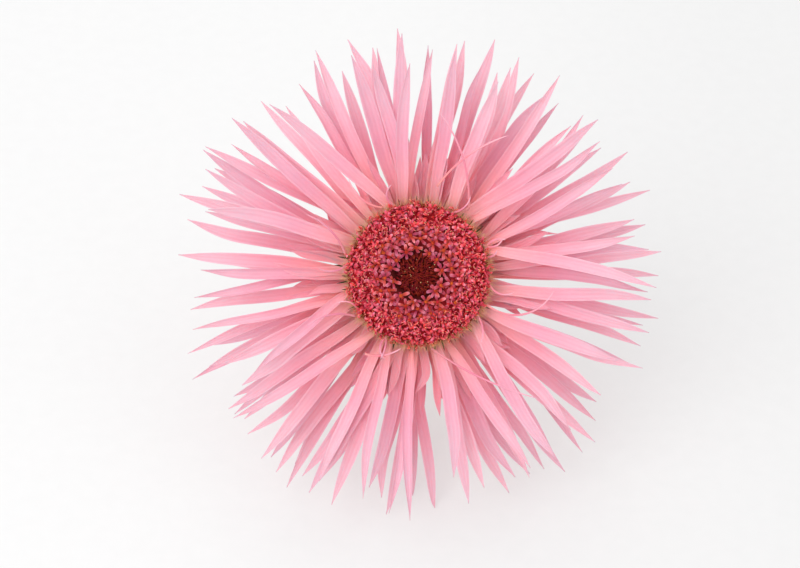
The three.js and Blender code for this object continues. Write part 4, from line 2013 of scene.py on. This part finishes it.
@dataclass
class Stem:
    """The cut stem: straight behind the head, round an arc on to the table, and along it. In millimetres.

    Attributes:
        start: How far behind the head's origin it begins.
        neck_radius: Its thickness at the head, as a radius.
        foot_radius: The same at the cut end.
        neck_length: The straight part behind the head.
        neck_spare: What that part has besides, inside the cup's foot.
        lying_length: The straight part on the table.
        sway: How far it wanders to the right, or to the left if below nought.
        ridges: How many ribs run along it.
        inset: How far the skin lies inside the radii, to leave room for the ribs.
        swell: How much thicker it is where it meets the cup.
        swell_reach: The share of its length that this takes.
        cut: The cut end, from its edge inwards: shares of its radius, and how far each lies past the end.
        hair_count: How many hairs stand on it.
    """

    head: Head
    start: float = 15.6
    neck_radius: float = 2.6
    foot_radius: float = 3.2
    neck_length: float = 20.0
    neck_spare: float = 0.25
    lying_length: float = 30.0
    sway: float = -5.0
    ridges: int = 11
    rib_height: float = 0.09
    inset: float = 0.16
    swell: float = 0.9
    swell_reach: float = 0.03
    cut: tuple[Range, ...] = (
        (0.97, 0.06), (0.9, 0.08), (0.86, -0.04), (0.5, -0.10), (0.3, -0.3), (0.24, -0.9), (0.02, -1.0)
    )
    hair_count: int = 2600
    seed: int = 29

    def path(self, steps: int) -> tuple[Array, Array]:
        """The stem's middle line, in the table's frame.

        The line falls back from the head, then follows a circle that touches both the line and the height of
        the lying part, then runs level. Sideways it goes by the square of the way round the arc, then evenly.

        Args:
            steps: How many points, evenly spaced.

        Returns:
            The points, and the unit vectors along them.
        """
        tilt = self.head.tilt
        back = self.head.direction((0, 0, -1))
        first = self.head.origin + back * self.start
        neck_length = self.neck_length + self.neck_spare
        neck = first + back * neck_length
        arc_radius = (neck[2] - self.foot_radius) / (1 - math.sin(tilt))
        arc_length = arc_radius * (math.pi / 2 - tilt)
        s = np.linspace(0, neck_length + arc_length + self.lying_length, steps)
        turned = np.clip((s - neck_length) / arc_radius, 0, math.pi / 2 - tilt)
        behind = np.minimum(s, neck_length)
        beyond = np.maximum(s - neck_length - arc_length, 0)
        round_arc = turned / (math.pi / 2 - tilt)
        x = first[0] + self.sway * (0.5 * round_arc**2 + 0.5 * beyond / self.lying_length)
        y = first[1] + back[1] * behind + arc_radius * (math.cos(tilt) - np.cos(tilt + turned)) + beyond
        z = first[2] + back[2] * behind - arc_radius * (np.sin(tilt + turned) - math.sin(tilt))
        points = np.stack([x, y, z], -1)
        return points, unit(np.gradient(points, s, axis=0))

    def frames(self, steps: int) -> tuple[Array, Array, Array]:
        """The middle line with the two directions square to it.

        Args:
            steps: How many points.

        Returns:
            The points, the sideways directions and the ones through.
        """
        points, forward = self.path(steps)
        side = square_to(forward, np.broadcast_to([1.0, 0.0, 0.0], forward.shape))
        return points, side, np.cross(forward, side)

    def bar(self) -> Skin:
        """The stem's skin, ribbed lengthways, with a cut end whose pith is sunk in the middle.

        Returns:
            The skin.
        """
        steps, sides = 150, 88
        points, side, through = self.frames(steps)
        forward = np.cross(side, through)
        share = np.linspace(0, 1, steps)
        angle = ring_angles(sides)[None]
        radius = self.neck_radius + (self.foot_radius - self.neck_radius) * share[:, None]
        swell = self.swell * np.exp(-((share / self.swell_reach) ** 2))[:, None]
        drift = 0.6 * np.sin(5 * share)[:, None]
        ribs = self.rib_height * np.cos(self.ridges * (angle + drift))
        ribs = ribs + 0.05 * np.cos(5 * angle + 14 * share[:, None])
        radius = radius - self.inset + swell + ribs
        end = radius[-1:]
        cut, past_end = np.array(self.cut).T
        radius = np.concatenate([radius, end * cut[:, None]])
        middle = np.concatenate([points, points[-1] + past_end[:, None] * forward[-1]])
        rows = len(radius)
        pick = np.minimum(np.arange(rows), steps - 1)
        cosine, sine = np.cos(angle)[..., None], np.sin(angle)[..., None]
        ring = side[pick][:, None] * cosine + through[pick][:, None] * sine
        skin = middle[:, None] + ring * radius[..., None]
        along = np.minimum(np.arange(rows) / steps, 1.0)
        pith = np.where(np.arange(rows) >= steps + 1, 1.0, 0.0)
        turn = np.broadcast_to(angle / math.pi - 1, (1, rows, sides))
        return Skin(skin[None], np.array([0.5]), along[None, :, None], np.abs(turn) * 2, pith[None, :, None])

    def hairs(self) -> Skin:
        """Fine hairs that stand off the stem, none of them under the table.

        Returns:
            The hairs.
        """
        rng = np.random.default_rng(self.seed)
        count, steps = self.hair_count, 600
        points, side, through = self.frames(steps)
        pick = rng.integers(8, steps - 4, count)
        angle = rng.uniform(0, TURN, count)
        out = side[pick] * np.cos(angle)[:, None] + through[pick] * np.sin(angle)[:, None]
        radius = self.neck_radius + (self.foot_radius - self.neck_radius) * pick / steps - 0.2
        root = points[pick] + out * radius[:, None]
        heading = unit(out + rng.normal(0, 0.35, (count, 3)))
        size = rng.uniform(0.5, 1.2, count)
        clear = (root + heading * size[:, None])[:, 2] > 0.1
        towards = square_to(heading, rng.normal(0, 1, (count, 3)))
        tone = rng.uniform(0, 1, count)[clear]
        hairs = Straps(
            root[clear], heading[clear], towards[clear],
            bend=0.6 * tone, length=size[clear], width=0.045, thickness=0.045, tone=tone,
        )
        return hairs.skin(Outline.BRISTLE, 4, 3)

    def build(self, stem: bpy.types.Material, down: bpy.types.Material) -> None:
        """Makes the stem and its hairs."""
        add_piece("ribbed_stem", [self.bar()], stem, Slot.STEM, on_table, ["stem"])
        add_piece("stem_hairs", [self.hairs()], down, Slot.STEM, on_table)


# -------------------- the studio


@dataclass(frozen=True)
class SoftBox:
    """A soft round light.

    Attributes:
        name: Its name.
        offset: Where it stands from the flower, in metres.
        size: Its width in metres.
        power: In watts.
    """

    name: str
    offset: Triple
    size: float
    power: float

    def build(self, aim: Vector) -> None:
        """Puts the light up and turns it to the flower.

        Args:
            aim: Where the flower is.
        """
        lamp = bpy.data.lights.new(self.name, "AREA")
        lamp.shape, lamp.size, lamp.energy = "DISK", self.size, self.power
        holder = bpy.data.objects.new(self.name, lamp)
        holder.location = aim + Vector(self.offset)
        holder.rotation_euler = (-Vector(self.offset)).to_track_quat("-Z", "Y").to_euler()
        bpy.context.scene.collection.objects.link(holder)


@dataclass
class Studio:
    """A pale table, soft light and the camera.

    Attributes:
        lens: The camera's focal length in millimetres.
        frame_width: What the camera sees across, at the petals, in metres.
        aside: How far the flower stands right of and above the middle of the view, in metres.
        petal_plane: Where the view is measured, over the head's origin, in millimetres.
        world: How strong the light from all round is.
        floor_glow: How strongly the table glows by itself, as a lit sheet would. This is painted light that
            lifts the shadows on it.
        fade: Between which places from left to right that glow drops, in metres. This is painted shade that
            darkens the right side.
        painted_shade_remainder: The share of the glow that is left at the right.
        floor_reach: How far the table goes on all four sides, in metres.
        sensor: The width of the camera's sensor in millimetres.
    """

    head: Head
    lens: float = 100.0
    frame_width: float = 0.1972
    aside: tuple[float, float] = (0.0045, 0.0024)
    petal_plane: float = 10.0
    world: float = 0.758
    # Painted light: the table's own glow lifts its shadows, and it drops towards the right as painted shade.
    floor_glow: float = 0.36
    fade: Range = (-0.02, 0.1)
    painted_shade_remainder: float = 0.87
    floor_reach: float = 4.0
    sensor: float = 36.0
    boxes: tuple[SoftBox, ...] = (
        SoftBox("key", (-0.54, -0.61, 0.9), 1.1, 6.7),
        SoftBox("fill", (0.9, -0.5, 1.0), 1.2, 2.1),
        SoftBox("back", (0.0, 0.9, 1.0), 1.0, 3.0),
    )

    def floor(self) -> None:
        """A wide pale tabletop with a faint grain. It glows by itself, painted light that lifts its shadows,
        and the glow drops a little to the right as painted shade.
        """
        reach = self.floor_reach
        corners = [(-reach, -reach, 0), (reach, -reach, 0), (reach, reach, 0), (-reach, reach, 0)]
        mesh = bpy.data.meshes.new("table_top")
        mesh.from_pydata(corners, [], [(0, 1, 2, 3)])
        material = bpy.data.materials.new("table_paper")
        material.use_nodes = True
        w = Wiring(material.node_tree)
        shader = material.node_tree.nodes["Principled BSDF"]
        point = w.node("TexCoord").outputs["Object"]
        grain = w.noise(point, 220.0, detail=4.0)
        across = w.node("SeparateXYZ", {"Vector": point}).outputs["X"]
        # Painted light and shade: the table glows by itself to lift its shadows, and the glow drops towards
        # the right as painted shade.
        start, end = self.fade
        fade = {"Value": across, "From Min": start, "From Max": end, "To Min": 1.0, "To Max": self.painted_shade_remainder}
        glow = w.node("MapRange", fade).outputs["Result"]
        settings = {
            "Base Color": w.ramp(grain, ((0.3, (189, 189, 189)), (0.7, (191, 191, 191)))),
            "Emission Color": (1.0, 1.0, 1.0, 1.0),
            "Emission Strength": w.maths("MULTIPLY", glow, self.floor_glow),
            "Roughness": 0.85,
            "Specular IOR Level": 0.1,
        }
        for name, wanted in settings.items():
            w.feed(shader.inputs[name], wanted)
        mesh.materials.append(material)
        top = bpy.data.objects.new("table_top", mesh)
        bpy.context.scene.collection.objects.link(top)

    def camera(self) -> None:
        """A camera on the head's axis, set back so that the view is frame_width across at the petals."""
        data = bpy.data.cameras.new("camera")
        data.lens, data.sensor_width = self.lens, self.sensor
        data.clip_start, data.clip_end = 0.01, 50.0
        camera = bpy.data.objects.new("camera", data)
        axis = Vector(self.head.direction((0, 0, 1)))
        up = Vector(self.head.direction((0, 1, 0)))
        aim = Vector(self.head.place(np.array([0.0, 0.0, self.petal_plane])))
        distance = self.frame_width * self.lens / self.sensor
        camera.location = aim + axis * distance - Vector((1, 0, 0)) * self.aside[0] - up * self.aside[1]
        camera.rotation_euler = (-axis).to_track_quat("-Z", "Y").to_euler()
        bpy.context.scene.collection.objects.link(camera)
        bpy.context.scene.camera = camera

    def build(self) -> None:
        """Puts up the floor, the lights, the surrounding light and the camera."""
        self.floor()
        aim = Vector(self.head.place(np.zeros(3)))
        for box in self.boxes:
            box.build(aim)
        world = bpy.data.worlds.new("studio")
        world.use_nodes = True
        background = world.node_tree.nodes["Background"]
        background.inputs["Color"].default_value = (1.0, 1.0, 1.0, 1.0)
        background.inputs["Strength"].default_value = self.world
        scene = bpy.context.scene
        scene.world = world
        scene.view_settings.view_transform = "Standard"
        self.camera()


# -------------------- the whole flower


@dataclass
class Gerbera:
    """The flower, built in order from the petals to the stem's cut end.

    Attributes:
        nodes: The CAD nodes by name.
        finishes: The materials by name.
    """

    nodes: dict[str, bpy.types.Object]
    finishes: dict[str, bpy.types.Material] = field(default_factory=dict)

    def dress(self) -> None:
        """Makes every material, and gives the hidden CAD nodes that stay theirs."""
        groups = Groups(mottle_group(), vein_group())
        kinds = (
            PETAL, SHORT_RAY_SHADED, INNER_LIP, STAR_LOBE_SHADED, THROAT, RIM_CURL_SHADED, ANTHER, POLLEN, BUD, BED_SHADE, BRISTLE,
            PAPPUS_CORE, FLESH, SLIVER, BRACT, STEM, DOWN,
        )
        self.finishes = {kind.name: kind.build(groups) for kind in kinds}
        for node, kind in (("receptacle", FLESH), ("pappus", PAPPUS_CORE)):
            self.nodes[node].data.materials.clear()
            self.nodes[node].data.materials.append(self.finishes[kind.name])

    def build(self, head: Head) -> None:
        """Makes the pieces.

        Args:
            head: The head's frame.
        """
        f = self.finishes
        Corolla(head).build(f[PETAL.name], f[SHORT_RAY_SHADED.name])
        InnerLips(head).build(f[INNER_LIP.name])
        Eye(head).build(f)
        Fringe(head).build(f[BRISTLE.name], f[SLIVER.name])
        Involucre(head).build(f[BRACT.name], f[DOWN.name])
        Stem(head).build(f[STEM.name], f[DOWN.name])


def main() -> None:
    """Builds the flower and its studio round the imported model."""
    logging.basicConfig(level=logging.INFO, format="%(message)s")
    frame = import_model()
    head = Head.found_on(frame["nodes"]["receptacle"])
    log.info("head origin %s, expected height %.2f", np.round(head.origin, 2), Corolla(head).head_height())
    flower = Gerbera(frame["nodes"])
    flower.dress()
    flower.build(head)
    Studio(head).build()


if __name__ == "__main__":
    main()
